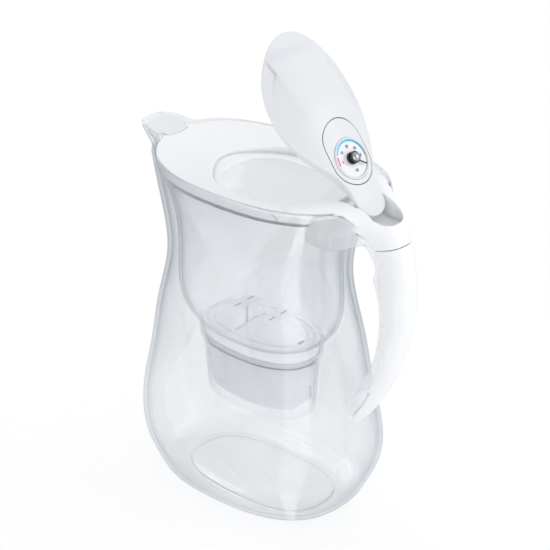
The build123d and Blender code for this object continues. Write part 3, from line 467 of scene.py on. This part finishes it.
def jug_reach(angle, z, inset=0.0, nose_inset=None):
    """Middle of the jug and the distance to its wall, with the spout's nose blended in."""
    a, b, middle = jug_size(z)
    power = JUG_POWER + FOOT_SQUARE * ease(1 - z / FOOT_HEIGHT)
    oval = oval_reach(angle, a - inset, b - inset, power)
    turn = abs(atan2(sin(angle), -cos(angle)))
    if z < NOSE_START_Z or turn > NOSE_TURN:
        return middle, oval
    tip, share = nose_size(z)
    inset_n = inset if nose_inset is None else nose_inset
    best = 0.0
    last = None
    for i in range(NOSE_STEPS + 1):
        back = NOSE_LENGTH * (i / NOSE_STEPS) ** NOSE_CROWDING
        half = max(nose_side(back)[0], 0.0) * share
        if inset_n:
            slope = (nose_side(back + 0.3)[0] - nose_side(max(back - 0.3, 0))[0]) * share \
                / (0.3 + min(back, 0.3))
            long = hypot(1, slope)
            point = (tip + back + inset_n * slope / long, half - inset_n / long)
        else:
            point = (tip + back, half)
        here = (atan2(max(point[1], 0.0), middle - point[0]), hypot(middle - point[0], point[1]))
        if last and last[0] <= turn <= here[0] and here[0] > last[0]:
            share_here = (turn - last[0]) / (here[0] - last[0])
            best = last[1] + (here[1] - last[1]) * share_here
            break
        last = here
    if not best:
        return middle, oval
    gap = max(NOSE_BLEND - abs(best - oval), 0.0) / NOSE_BLEND
    return middle, max(best, oval) + gap * gap * NOSE_BLEND / 4


def rim_height(x, y):
    """Height of the rim, which rises to the spout and dips under the lid's hood."""
    rise = 0.0
    if x < RISE_START:
        reach = RISE_START - NOSE_ROWS[-1][1]
        rise = RIM_RISE * ((RISE_START - x) / reach) ** 1.9
    dip = 0.0
    if x > HOOD_X:
        dip = sum(depth * ease((half - abs(y)) / run) for depth, half, run in RIM_DIPS)
    return RIM_Z + rise - dip


def ring_angles():
    """Directions round the jug, closest together at the spout."""
    return [t + 0.72 * sin(t) for t in (2 * pi * i / RING_POINTS for i in range(RING_POINTS))]


def jug_ring(level, inset=0.0, nose_inset=None, start=250.0):
    """Ring of points round the jug; above start its height follows the rim."""
    points = []
    for angle in ring_angles():
        z = level
        for _ in range(4 if level > start else 1):
            middle, reach = jug_reach(angle, z, inset, nose_inset)
            x, y = middle + reach * cos(angle), reach * sin(angle)
            if level > start:
                share = (level - start) / (RIM_Z - start)
                z = start + share * (rim_height(x, y) - start)
        points.append((x, y, z))
    return points


def grow(name, rings, ends=(True, True), smooth=40):
    """Grows a skin from a circle by extruding its open edge from ring to ring."""
    bpy.ops.object.select_all(action="DESELECT")
    bpy.ops.mesh.primitive_circle_add(vertices=len(rings[0]), radius=0.05)
    piece = bpy.context.object
    piece.name = name
    bpy.ops.object.mode_set(mode="EDIT")
    order = list(range(len(rings[0])))
    first = list(order)
    for step, ring in enumerate(rings):
        if step:
            bpy.ops.mesh.extrude_edges_move()
        mesh = bmesh.from_edit_mesh(piece.data)
        mesh.verts.ensure_lookup_table()
        if step:
            order = [next(e.other_vert(mesh.verts[i]).index for e in mesh.verts[i].link_edges
                          if e.other_vert(mesh.verts[i]).select) for i in order]
        for i, (x, y, z) in zip(order, ring):
            mesh.verts[i].co = (x * MM, y * MM, z * MM)
        bmesh.update_edit_mesh(piece.data)
    for wanted, loop in zip(ends, (first, order)):
        if wanted:
            bpy.ops.mesh.select_all(action="DESELECT")
            mesh = bmesh.from_edit_mesh(piece.data)
            mesh.verts.ensure_lookup_table()
            for i in loop:
                mesh.verts[i].select = True
            mesh.select_flush(True)
            bmesh.update_edit_mesh(piece.data)
            bpy.ops.mesh.edge_face_add()
    bpy.ops.mesh.select_all(action="SELECT")
    bpy.ops.mesh.normals_make_consistent(inside=False)
    bpy.ops.object.mode_set(mode="OBJECT")
    bpy.ops.object.shade_smooth_by_angle(angle=radians(smooth))
    return piece


BAND_ROWS = [  # step, inner edge x and z, outer edge x and z of the handle's clear band
    (0, 88.0, 249.5, 88.0, 270.6), (1, 107.4, 249.1, 110.0, 260.5),
    (2, 117.5, 241.4, 121.8, 249.2), (3, 121.6, 231.6, 127.3, 237.0),
    (4, 119.8, 223.8, 124.8, 225.4), (5, 123.4, 211.5, 129.0, 211.5),
    (6, 125.8, 196.0, 131.0, 196.0), (7, 124.6, 173.0, 129.3, 173.0),
    (8, 119.0, 150.8, 122.6, 143.3), (9, 105.6, 124.0, 105.6, 110.6),
    (10, 88.0, 101.0, 90.0, 88.0)]
BAND_HALF, BAND_DEPTH, BAND_ROUND, BAND_STEPS = 10.0, 4.2, 1.3, 12
BAND_FREE_Z = 248.6               # below this the band reaches deeper than its outline
ROOT_FLARE = [(9.0, 121.0), (16.0, 112.0), (26.0, 107.5), (34.5, 101.0), (41.0, 92.0)]
ROOT_FLOOR, ROOT_CORNER, ROOT_HALF, ROOT_BACK_X, ROOT_FLAT = 250.0, 8.0, 41.0, 82.0, 9.0
ROOT_ROWS = [(250.0, 1.6), (250.15, 0.9), (250.5, 0.35)] + [(z, 0.0) for z in (
    251.2, 252.5, 254.0, 256.0, 258.0, 260.5, 263.0, 266.0, 269.0, 272.0, 275.0, 278.5)]
INNER_LINE = [(88.0, 270.6), (110.0, 260.5), (121.8, 249.2)]
FLANK_LINE = [(84.0, 281.5), (97.0, 279.0), (108.0, 274.5), (110.5, 270.4), (113.0, 263.6),
              (121.8, 249.2)]
FLANK_HALF = 19.5


def clear_band():
    """Band of the handle that the grip is pushed over, as a swept rounded strip."""
    edge = curve_through(BAND_ROWS)
    rings = []
    for i in range(BAND_ROWS[-1][0] * BAND_STEPS + 1):
        x0, z0, x1, z1 = edge(i / BAND_STEPS)
        long = hypot(x1 - x0, z1 - z0)
        dx, dz = (x1 - x0) / long, (z1 - z0) / long
        if z1 < BAND_FREE_Z:
            long += BAND_DEPTH
        r = BAND_ROUND
        corners = [(0, BAND_HALF), (0, -BAND_HALF), (long, -BAND_HALF), (long, BAND_HALF)]
        turns = [(1, -1), (1, 1), (-1, 1), (-1, -1)]
        ring = []
        for k, ((depth, side), (sd, ss)) in enumerate(zip(corners, turns)):
            for j in range(5):
                a = radians(22.5 * j)
                if k % 2 == 0:
                    d, y = depth + sd * r * (1 - sin(a)), side + ss * r * (1 - cos(a))
                else:
                    d, y = depth + sd * r * (1 - cos(a)), side + ss * r * (1 - sin(a))
                ring.append((x0 + dx * d, y, z0 + dz * d))
        rings.append(ring)
    return grow("clear_band", rings, smooth=50)


def clear_root():
    """Flared block that carries the handle on the rim, cut off under the lid's hood."""
    reach = curve_through(ROOT_FLARE)
    flank = curve_through(FLANK_LINE)
    inner = curve_through(INNER_LINE)
    rings = []
    for z, inset in ROOT_ROWS:
        half = ROOT_HALF - inset
        if z < ROOT_FLOOR + ROOT_CORNER:
            half += sqrt(ROOT_CORNER ** 2 - (ROOT_FLOOR + ROOT_CORNER - z) ** 2) - ROOT_CORNER
        ring = []
        for i in range(-20, 21):
            y = half * i / 20
            x = reach(max(abs(y), ROOT_FLAT))[0] - inset
            ring.append((x, y))
        ring += [(ROOT_BACK_X, half * i / 6) for i in range(6, -7, -1)]
        placed = []
        for x, y in ring:
            line, rows = (flank, FLANK_LINE) if abs(y) >= FLANK_HALF else (inner, INNER_LINE)
            top = line(min(max(x, rows[0][0]), rows[-1][0]))[0]
            placed.append((x, y, min(z, top - 0.3)))
        rings.append(placed)
    return grow("clear_root", rings, smooth=50)


def plug():
    """The jug's outline as a closed solid, a hair larger, for cutting the handle's root."""
    levels = [10.0 + 4.0 * i for i in range(67)] + [JUG_ROWS[-1][0]]
    return grow("plug", [jug_ring(z, -0.05, start=LEVEL) for z in levels])


class PITCHER_OT_jug(bpy.types.Operator):
    """Clear jug with its foot, its floor, the ledge in the rim and the spout"""
    bl_idname = "pitcher.jug"
    bl_label = "Jug"

    def execute(self, context):
        def foot(share, z):
            ring = []
            for t in ring_angles():
                reach = oval_reach(t, 1, 1, FOOT_POWER)
                ring.append((FOOT_HALF_LENGTH * share * (reach * cos(t)),
                             FOOT_HALF_WIDTH * share * (reach * sin(t)), z))
            return ring
        rings = [foot(share, z) for share, z in FOOT_ROWS]
        rings += [jug_ring(z, 0.0 if z else 1.2) for z in (0.0, 0.45, 1.0, 2.0, 3.5, 5.5, 8.5)]
        z = 12.0
        while z < RIM_Z - 3.0:
            rings.append(jug_ring(z))
            z += WIDE_STEP if z < 214 else FINE_STEP
        rim = [(RIM_Z - 0.75, 0.0), (RIM_Z - 0.22, 0.2), (RIM_Z, 0.62), (RIM_Z, 1.2),
               (RIM_Z - 0.22, 1.6), (RIM_Z - 0.8, THIN_WALL)]
        top = len(rings)
        rings += [jug_ring(level, inset, inset) for level, inset in rim]
        z = RIM_Z - 3.0
        while z > LEDGE_Z + 1.5:
            share = ease((RIM_Z - z) / 9)
            rings.append(jug_ring(z, THIN_WALL, THIN_WALL + (WALL - THIN_WALL) * share))
            z -= 2.0
        rings += [jug_ring(LEDGE_Z + over, inset, WALL) for over, inset in (
            (0.35, THIN_WALL), (0.0, THIN_WALL + 0.3), (-0.05, WALL - 0.4), (-0.6, WALL))]
        z = LEDGE_Z - 2.0
        while z > 13.0:
            rings.append(jug_ring(z, WALL))
            z -= FINE_STEP if z > 216 else WIDE_STEP
        rings += [jug_ring(z, inset) for z, inset in
                  ((11.0, 3.0), (9.0, 3.3), (7.4, 4.6), (6.3, 7.0), (5.75, 10.5), (FLOOR_Z, 15.0),
                   (FLOOR_Z, 36.0))]
        jug = grow("clear_jug", rings)
        # painted shade lines round the foot and at the rim, where the lid's edge sits
        mark_painted_lines(jug, {2: 0.5, 3: 0.6, 4: 0.5, top + 3: 0.25, top + 4: 0.65, top + 5: 0.5})
        band = clear_band()
        bpy.ops.object.select_all(action="DESELECT")
        bpy.ops.mesh.primitive_cube_add(size=1.0, location=(0.1235, 0, 0.1875))
        groove = bpy.context.object
        groove.scale = (0.008, 0.03, 0.0007)
        bpy.ops.object.transform_apply(location=True, rotation=True, scale=True)
        cut(band, groove, "DIFFERENCE")
        cut(band, clear_root(), "UNION")
        cut(band, plug(), "DIFFERENCE")
        pick(band)
        bpy.ops.object.shade_smooth_by_angle(angle=radians(35))
        c = colours()
        stand_for(jug, "jug_body", clear("clear_jug_plastic", c.clear, c.clear_edge, 0.14))
        # the clear band gets a share of milky plastic with a painted glow
        stand_for(band, "jug_body", clear("clear_band_plastic", c.clear, c.clear_edge, 0.1,
                                          gloss=0.7, milky_glow=0.26))
        return {"FINISHED"}


# The cap's own directions: along from its hinge, across, and out of its top

CAP_ANGLE = radians(52.0)
HINGE = Vector(JOINTS["cap_hinge"]["pos_m"]) / MM
CAP_ALONG = Vector((-cos(CAP_ANGLE), 0.0, sin(CAP_ANGLE)))
CAP_OUT = Vector((sin(CAP_ANGLE), 0.0, cos(CAP_ANGLE)))
cap_half = curve_through([(0.0, 13.5), (12.0, 14.8), (25.0, 19.3), (45.0, 32.1), (65.0, 40.7),
                          (85.0, 43.3), (105.0, 39.1), (122.0, 27.5), (131.0, 17.2),
                          (136.5, 0.0)])


RELIEF_START, RELIEF_END, RELIEF_HEIGHT = 56.0, 136.0, 2.3
BRIM_WIDTH, RIDGE_HALF, RIDGE_SPREAD = 10.5, 19.0, 0.111


def cap_relief(x, y, z):
    """Raises the cap's middle over a flat brim, with a soft ridge on both sides."""
    point = Vector((x, y, z))
    along, across = (point - HINGE).dot(CAP_ALONG), abs(y)
    if along < RELIEF_START or along > RELIEF_END:
        return x, y, z
    brim = cap_half(along)[0] - BRIM_WIDTH * ease((along - 60.0) / 58.0)
    ridge = RIDGE_HALF + RIDGE_SPREAD * (along - 59.7)
    high = RELIEF_HEIGHT * ease((along - RELIEF_START) / 20.0) * ease((126.0 - along) / 10.0)
    if across > ridge:
        high *= min(max((brim - across) / max(brim - ridge, 2.0), 0.0), 1.0)
    return tuple(point + CAP_OUT * high)


class PITCHER_OT_cap(bpy.types.Operator):
    """Standing cap with its brim, its raised middle and the panel let into it"""
    bl_idname = "pitcher.cap"
    bl_label = "Cap"

    def execute(self, context):
        c = colours()
        cover = softened("cap_shell", "cap_cover", 0.62, 7,
                         moulded("white_cap", c.cap, depth=0.6), cap_relief)
        panel = softened("indicator_panel", "cap_panel", 0.34, 4,
                         moulded("white_panel", c.cap, 0.26, depth=0.8))
        # painted shade along the gap between the cap and its panel
        paint_seam_shade(cover, panel, 0.9)
        paint_seam_shade(panel, cover, 0.6)
        return {"FINISHED"}


OPENING = [(-22.2, 0.0), (-21.8, 8.0), (-19.8, 16.0), (-15.2, 23.6), (-8.0, 29.6),
           (1.0, 33.2), (11.0, 34.5), (21.0, 34.0), (31.0, 31.8), (40.0, 28.0), (44.0, 24.0)]
CLOSED_TILT = radians(3.5)
CAP_MIDDLE = 68.25
PATCH_START, PATCH_LENGTH, PATCH_MARGIN, PATCH_DEPTH = 96.0, 34.5, 4.0, 2.0


def closed_cap(along, over):
    """Place of a point of the closed cap, from its distance to the hinge and its height."""
    return (HINGE.x - along * cos(CLOSED_TILT) - over * sin(CLOSED_TILT),
            HINGE.z - along * sin(CLOSED_TILT) + over * cos(CLOSED_TILT))


def seat_height(along):
    """Height of the border that the closed cap lies on, over the line from hinge to tip."""
    share = (along - CAP_MIDDLE) / CAP_MIDDLE
    return -3.4 + 7.15 * share * share + 0.15 * share


def opening_block():
    """Upright block with the smooth outline of the filling opening."""
    side = curve_through([(i, x, y) for i, (x, y) in enumerate(OPENING)])
    half = [side(i / 5) for i in range(51)]
    line = half + [(x, -y) for x, y in reversed(half[1:])]
    return grow("opening_block", [[(x, y, z) for x, y in line] for z in (255.0, 300.0)])


def seat_patch():
    """Leaf-shaped piece of the cap's seat, which fills the opening's front before it is cut."""
    bpy.ops.object.select_all(action="DESELECT")
    bpy.ops.mesh.primitive_grid_add(x_subdivisions=28, y_subdivisions=12, size=1.0)
    patch = bpy.context.object
    patch.name = "seat_patch"
    for v in patch.data.vertices:
        along = PATCH_START + PATCH_LENGTH * (v.co.x + 0.5)
        x, z = closed_cap(along, seat_height(along) - 0.02)
        v.co = Vector((x, v.co.y * 2 * (cap_half(along)[0] - PATCH_MARGIN), z)) * MM
    patch.data.update()
    down = 1.0 if patch.data.polygons[0].normal.z < 0 else -1.0
    apply(patch, "SOLIDIFY", thickness=PATCH_DEPTH * MM, offset=down)
    return clean(patch)


class PITCHER_OT_lid(bpy.types.Operator):
    """Dished lid with its soft opening and the hood over the handle, and the pour flap"""
    bl_idname = "pitcher.lid"
    bl_label = "Lid"

    def execute(self, context):
        c = colours()
        lid = copy_of("lid_cover", "lid_plate")
        cut(lid, seat_patch(), "UNION")
        cut(lid, opening_block(), "DIFFERENCE")
        softened("lid_cover", lid, 0.78, 7, moulded("white_lid", c.white, depth=0.6))
        softened("pour_flap", "spout_flap", 0.4, 4, moulded("flap_grey", c.flap, 0.3))
        return {"FINISHED"}


class PITCHER_OT_grip(bpy.types.Operator):
    """White grip on the clear band"""
    bl_idname = "pitcher.grip"
    bl_label = "Grip"

    def execute(self, context):
        softened("handle_grip", "grip_skin", 0.62, 6,
                 moulded("white_grip", colours().white, depth=0.4))
        return {"FINISHED"}


CARTRIDGE_X = 1.0
# the slots of the cartridge's lid: their size, and the painted shade put into them
SLOT_HALF_WIDTH, SLOT_HALF_LENGTH, SLOT_PAINTED_SHADE = 0.85, 3.5, 0.4


class PITCHER_OT_cartridge(bpy.types.Operator):
    """Filter cartridge with its slotted white lid and grey case"""
    bl_idname = "pitcher.cartridge"
    bl_label = "Cartridge"

    def execute(self, context):
        c = colours()
        # the cartridge's lid and case get a painted glow (lit) and painted shade and highlights (depth)
        cover = softened("cartridge_lid", "cartridge_cover", 0.48, 3,
                         moulded("cartridge_white", c.cartridge, 0.4, lit=0.12, depth=1.0))
        slots = [(sx * 17.6, sy * 7.0) for sx in (-1, 1) for sy in (-1, 1)]
        slots += [(sx * 41.8, 0.0) for sx in (-1, 1)]

        # painted shade in the slots, where the holes lie in shadow
        def in_slot(place):
            x, y = place.x - CARTRIDGE_X, place.y
            return SLOT_PAINTED_SHADE if any(abs(x - sx) < SLOT_HALF_WIDTH
                                    and abs(y - sy) < SLOT_HALF_LENGTH for sx, sy in slots) else 0
        mark_where(cover, in_slot)
        softened("cartridge_case", "cartridge_box", 0.6, 4,
                 moulded("case_grey", c.grey_case, 0.5, lit=0.12, depth=0.7))
        return {"FINISHED"}


# The dial's own directions: from its middle towards the cap's hinge, across, and outwards

DIAL = JOINTS["dial_turn"]
DIAL_MIDDLE = Vector(DIAL["pos_m"])
DIAL_OUT = Vector(DIAL["axis"]).normalized()
DIAL_DOWN = Vector((0, 1, 0)).cross(DIAL_OUT)
DIAL_PLACE = Matrix((DIAL_DOWN, (0, 1, 0), DIAL_OUT)).transposed().to_4x4()
DIAL_PLACE.translation = DIAL_MIDDLE
SCALE_SINK = 1.2
ARC_RADIUS, RED_INNER = 14.35, 12.2
BLUE_START, BLUE_END, RED_START, RED_END = 84.0, 241.0, 249.0, 277.5
NUMBER_RADIUS, NUMBER_SIZE, NUMBER_WEIGHT, NUMBER_RISE = 9.3, 3.0, 0.09, 0.03
BLUE_INK = (0.02, 0.03, 0.30)
NUMBERS = [("0", 270.0, "red"), ("10", 225.0, "blue"), ("20", 176.0, "blue"),
           ("30", 129.0, "blue"), ("40", 87.0, "blue"), ("50", 0.0, "blue")]
TURN_STEPS = 72


def on_dial(piece):
    """Lays a piece that was made round the origin on the dial."""
    piece.matrix_world = DIAL_PLACE
    pick(piece)
    bpy.ops.object.transform_apply(location=True, rotation=True, scale=True)
    return piece


def turned(name, profile, hollow=False):
    """Round piece grown from a profile of radius and height; a hollow one is a ring."""
    if hollow:
        profile = profile + profile[:1]
    turns = [2 * pi * i / TURN_STEPS for i in range(TURN_STEPS)]
    rings = [[(r * cos(t), r * sin(t), z) for t in turns] for r, z in profile]
    piece = grow(name, rings, (not hollow, not hollow), 35)
    return clean(piece, merge=0.000001) if hollow else piece


def dial_print():
    """Scale's white face with a blue arc, thinning to one side, and a short magenta arc."""
    c = colours()
    s = Surface("dial_scale")
    turn = DIAL_PLACE.inverted().to_euler()
    spot = s.node("ShaderNodeVectorMath", dict(operation="SUBTRACT"),
                  {0: s.place(), 1: tuple(DIAL_MIDDLE)})
    flat = s.node("ShaderNodeMapping", dict(vector_type="POINT"),
                  {"Vector": spot, "Rotation": tuple(turn), "Scale": (1000, 1000, 1000)})
    x, y, _ = s.parts_of(flat)
    radius = (x * x + y * y) ** 0.5
    angle = x._math("ARCTAN2", y, swap=True) * (180 / pi)
    angle = angle + (angle < 0.0) * 360.0
    grain = s.noise(2400.0, 1.0)
    width = (angle - BLUE_START) * (1.5 / (BLUE_END - BLUE_START)) + 0.8
    ring = (radius < ARC_RADIUS) * (radius > ARC_RADIUS - width)
    speck = (grain > 0.62) * (angle < 150.0)
    blue = ring * (angle > BLUE_START) * (angle < BLUE_END) * (1 - speck * 0.75)
    red = (radius < ARC_RADIUS) * (radius > RED_INNER) * (angle > RED_START) * (angle < RED_END)
    face = s.mix(s.noise(60.0, 2.0), (0.76, 0.765, 0.775), (0.79, 0.795, 0.80))
    with_blue = s.mix(blue, face, tuple(c.arc_blue))
    return s.finish(base_color=s.mix(red, with_blue, tuple(c.arc_red)),
                    roughness=grain * 0.04 + 0.18, coat_weight=0.4)


class PITCHER_OT_dial(bpy.types.Operator):
    """Change dial: scale with arcs and numbers, ring, knob with its dome, and pointer"""
    bl_idname = "pitcher.dial"
    bl_label = "Dial"

    def execute(self, context):
        c = colours()
        give(NODES["dial_plate"], dial_print())
        inks = {"red": moulded("ink_magenta", c.arc_red, 0.3),
                "blue": moulded("ink_blue", BLUE_INK, 0.3)}
        for digits, angle, ink in NUMBERS:
            bpy.ops.object.select_all(action="DESELECT")
            bpy.ops.object.text_add()
            number = context.object
            number.name = "dial_number_" + digits
            number.data.body = digits
            number.data.size = NUMBER_SIZE * MM
            number.data.offset = NUMBER_WEIGHT * MM
            number.data.extrude = NUMBER_RISE * MM
            number.data.align_x, number.data.align_y = "CENTER", "CENTER"
            bpy.ops.object.convert(target="MESH")
            t = radians(angle)
            number.rotation_euler = (0, 0, radians(90))
            number.location = (NUMBER_RADIUS * MM * cos(t), NUMBER_RADIUS * MM * sin(t),
                               (-SCALE_SINK + NUMBER_RISE) * MM)
            bpy.ops.object.transform_apply(location=True, rotation=True, scale=True)
            on_dial(number)
            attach(number, "cap")
            give(number, inks[ink])
        bezel = turned("dial_ring", [(14.2, -1.15), (14.25, -0.4), (14.5, -0.02), (14.9, 0.14),
                                     (15.35, 0.14), (15.65, -0.02), (15.85, -0.35),
                                     (15.88, -1.15)], hollow=True)
        stand_for(on_dial(bezel), "dial_bezel", moulded("bezel_grey", (0.72, 0.73, 0.75), 0.22))
        black = moulded("knob_black", (0.008, 0.008, 0.009), 0.12)
        knob = turned("dial_stem", [(0.6, -4.3), (1.4, -4.3), (1.45, -1.1), (4.5, -1.1),
                                    (4.6, -0.9), (4.6, 0.05), (4.35, 0.3), (3.9, 0.42),
                                    (3.7, 0.8), (3.7, 2.5), (4.3, 2.75), (4.4, 3.4),
                                    (4.2, 3.8), (3.3, 3.9), (0.6, 3.9)])
        stand_for(on_dial(knob), "dial_knob", black)
        dome = turned("dial_dome", [(0.4, 3.6), (3.3, 3.6), (3.42, 3.9), (3.3, 4.35), (2.9, 4.85),
                                    (2.2, 5.3), (1.2, 5.6), (0.3, 5.68)])
        stand_for(on_dial(dome), "knob_dome", bright("dome_chrome", (0.52, 0.53, 0.56)))
        softened("dial_pointer", "dial_hand", 0.14, 2, black)
        return {"FINISHED"}


STRIP_X, STRIP_BACK, STRIP_RIGHT, STRIP_LEFT = 0.063, 0.032, 78.0, 42.0
MANY_WALLS, WALLS_GLOW = 7.5, 0.36    # more light from behind this many clear walls
FLOOR_GLOW = 0.72


class PITCHER_OT_stage(bpy.types.Operator):
    """Floor, light, world and camera of the studio"""
    bl_idname = "pitcher.stage"
    bl_label = "Studio"

    def execute(self, context):
        scene = context.scene
        view = scene.pitcher_view
        bpy.ops.object.select_all(action="DESELECT")
        bpy.ops.mesh.primitive_plane_add(size=9.0, location=(0, 0, -0.0006))
        floor = context.object
        floor.name = "studio_floor"
        s = Surface("floor_paper")
        x, y, _ = s.parts_of(s.place())
        out = (x * x + y * y) ** 0.5
        round_about = x._math("ARCTAN2", y, swap=True)
        slow = (round_about * 3.0 + 0.4)._math("COSINE") * 0.5 + 0.5
        behind = (y * cos(view.azimuth) - x * sin(view.azimuth)) / out
        side = (y + STRIP_BACK)._math("ARCTAN2", x - STRIP_X) * (180 / pi)
        strip = ((side + STRIP_RIGHT) * 0.5).clamp() * ((-STRIP_LEFT - side) * 0.5).clamp()
        glossy, bent, walls = s.rays("Is Glossy Ray", "Is Transmission Ray",
                                     "Transparent Depth")
        edge = ((behind + 0.1) * 1.2).clamp() * ((out - 0.2) * 4.0).clamp() * 0.5
        bands = glossy * (slow * 0.14 + 0.1 + edge).clamp()
        far = bent * ((out - 0.62) * 2.5).clamp() * 0.5
        tone = s.noise(40.0, 4.0)
        lit = s.node("ShaderNodeBsdfDiffuse", None, {
            "Color": s.mix(tone, (0.93, 0.93, 0.935), (0.95, 0.95, 0.955))})
        glow = s.node("ShaderNodeEmission", None, {
            "Color": s.mix((bands + far).clamp(), (1, 1, 1), (0.0, 0.015, 0.035)),
            "Strength": glossy * strip * 1.1 + (walls > MANY_WALLS) * WALLS_GLOW + 1.0})
        give(floor, s.output(s.node("ShaderNodeMixShader", None,
                                    {0: FLOOR_GLOW, 1: lit, 2: glow})))

        scene.world = bpy.data.worlds.new("studio_air")
        s = Surface("studio_air", scene.world)
        x, y, z = s.parts_of(s.node("ShaderNodeTexCoord", output="Generated"))
        seen, glossy, bent = s.rays("Is Camera Ray", "Is Glossy Ray", "Is Transmission Ray")
        high = ((z - 0.25) * 2.2).clamp()
        boxes = (x._math("ARCTAN2", y, swap=True) * 3.0 + 0.7)._math("COSINE") * 0.5 + 0.5
        shade = (glossy * (high * boxes * 0.5 + 0.15) + bent * high * 0.4).clamp()
        to_right = x * cos(view.azimuth) + y * sin(view.azimuth)
        plain = s.node("ShaderNodeBackground", None, {
            "Color": (0.96, 0.975, 1.0),
            "Strength": (to_right * 0.50 + z * 0.30 + 0.86) * view.air})
        white = s.node("ShaderNodeBackground", None, {
            "Color": s.mix(shade, (1, 1, 1), (0.02, 0.035, 0.06)), "Strength": 1.0})
        either = s.node("ShaderNodeMixShader", None, {
            0: (seen + glossy + bent).clamp(), 1: plain, 2: white})
        s.node("ShaderNodeOutputWorld", None, {"Surface": either})

        a, e, r = view.azimuth, view.elevation, view.roll
        back = Vector((sin(a) * cos(e), -cos(a) * cos(e), sin(e)))
        level = Vector((cos(a), sin(a), 0))
        up = back.cross(level)
        right = level * cos(r) + up * sin(r)
        top = up * cos(r) - level * sin(r)
        data = bpy.data.cameras.new("studio_camera")
        data.sensor_width = 36.0
        data.lens = view.lens
        data.clip_end = 50
        camera = bpy.data.objects.new("studio_camera", data)
        scene.collection.objects.link(camera)
        place = Matrix((right, top, back)).transposed().to_4x4()
        place.translation = Vector(view.target) + back * view.distance
        camera.matrix_world = place
        scene.camera = camera

        middle = Vector((0, 0, 0.2))
        front = Vector((back.x, back.y, 0))
        lamps = [("key", level * 1.9 + front * 0.3 + Vector((0, 0, 0.9)), 1.1, 4.8),
                 ("fill", -level * 0.6 + front * 1.8 + Vector((0, 0, 0.1)), 1.4, 5.4),
                 ("spout", Vector((-1.5, 0.3, 1.5)), 1.2, 6.5)]
        for name, offset, size, power in lamps:
            light = bpy.data.lights.new("lamp_" + name, "AREA")
            light.size = size
            light.energy = power * view.lamps
            lamp = bpy.data.objects.new("lamp_" + name, light)
            scene.collection.objects.link(lamp)
            lamp.location = middle + offset
            lamp.rotation_euler = (-offset).to_track_quat("-Z", "Y").to_euler()
        scene.view_settings.view_transform = "Standard"
        return {"FINISHED"}


class PITCHER_OT_dress(bpy.types.Operator):
    """Plastics and rubber on the pieces that come straight from the frame"""
    bl_idname = "pitcher.dress"
    bl_label = "Finishes"

    def execute(self, context):
        c = colours()
        white = moulded("white_plastic", c.white)
        panel = moulded("panel_plastic", c.white, 0.28)
        for names, material in (
                (("water_chamber",), clear("clear_chamber_plastic", c.clear, c.clear_edge,
                                           ripple=0.02, gloss=0.8)),
                (("cap_liner",), white),
                (("indicator_back",), panel),
                # the screens are near black: a sheet of painted shade under the cartridge's slots
                (("cartridge_top_mesh", "cartridge_bottom_mesh"),
                 moulded("screen_dark_for_slot_shade", (0.06, 0.065, 0.07), 0.6)),
                (("filter_media",), moulded("granule_black", (0.03, 0.03, 0.033), 0.7, 700, 0.6)),
                (("well_grommet",), moulded("soft_grey_rubber", (0.66, 0.67, 0.69), 0.7)),
                # the skirt gets a faint painted glow (lit) that lightens it in the lid's shade
                (("lid_skirt",), moulded("skirt_grey", c.skirt, 0.45, lit=0.05)),
                (("cap_hinge_pin", "pour_flap_pin"), moulded("pin_white", (0.7, 0.7, 0.71)))):
            for name in names:
                give(NODES[name], material)
        return {"FINISHED"}


class PITCHER_PT_panel(bpy.types.Panel):
    """Lists the pitcher's pieces in the 3D view's sidebar"""
    bl_label = "Filter Pitcher"
    bl_space_type = "VIEW_3D"
    bl_region_type = "UI"
    bl_category = "Pitcher"

    def draw(self, context):
        column = self.layout.column()
        for operator in OPERATORS:
            column.operator(operator.bl_idname)
        for group in (context.scene.pitcher_view, context.scene.pitcher_colours):
            for key in group.__annotations__:
                column.prop(group, key)


OPERATORS = [PITCHER_OT_stage, PITCHER_OT_dress, PITCHER_OT_jug, PITCHER_OT_grip,
             PITCHER_OT_cartridge, PITCHER_OT_lid, PITCHER_OT_cap, PITCHER_OT_dial]
GROUPS = [PitcherView, PitcherColours]


def register():
    for cls in [*GROUPS, *OPERATORS, PITCHER_PT_panel]:
        bpy.utils.register_class(cls)
    bpy.types.Scene.pitcher_view = bpy.props.PointerProperty(type=PitcherView)
    bpy.types.Scene.pitcher_colours = bpy.props.PointerProperty(type=PitcherColours)


def unregister():
    del bpy.types.Scene.pitcher_colours
    del bpy.types.Scene.pitcher_view
    for cls in [PITCHER_PT_panel, *reversed(OPERATORS), *reversed(GROUPS)]:
        bpy.utils.unregister_class(cls)


def main():
    register()
    for operator in OPERATORS:
        getattr(bpy.ops.pitcher, operator.bl_idname.split(".")[1])()
    bpy.context.view_layer.update()


if __name__ == "__main__":
    main()
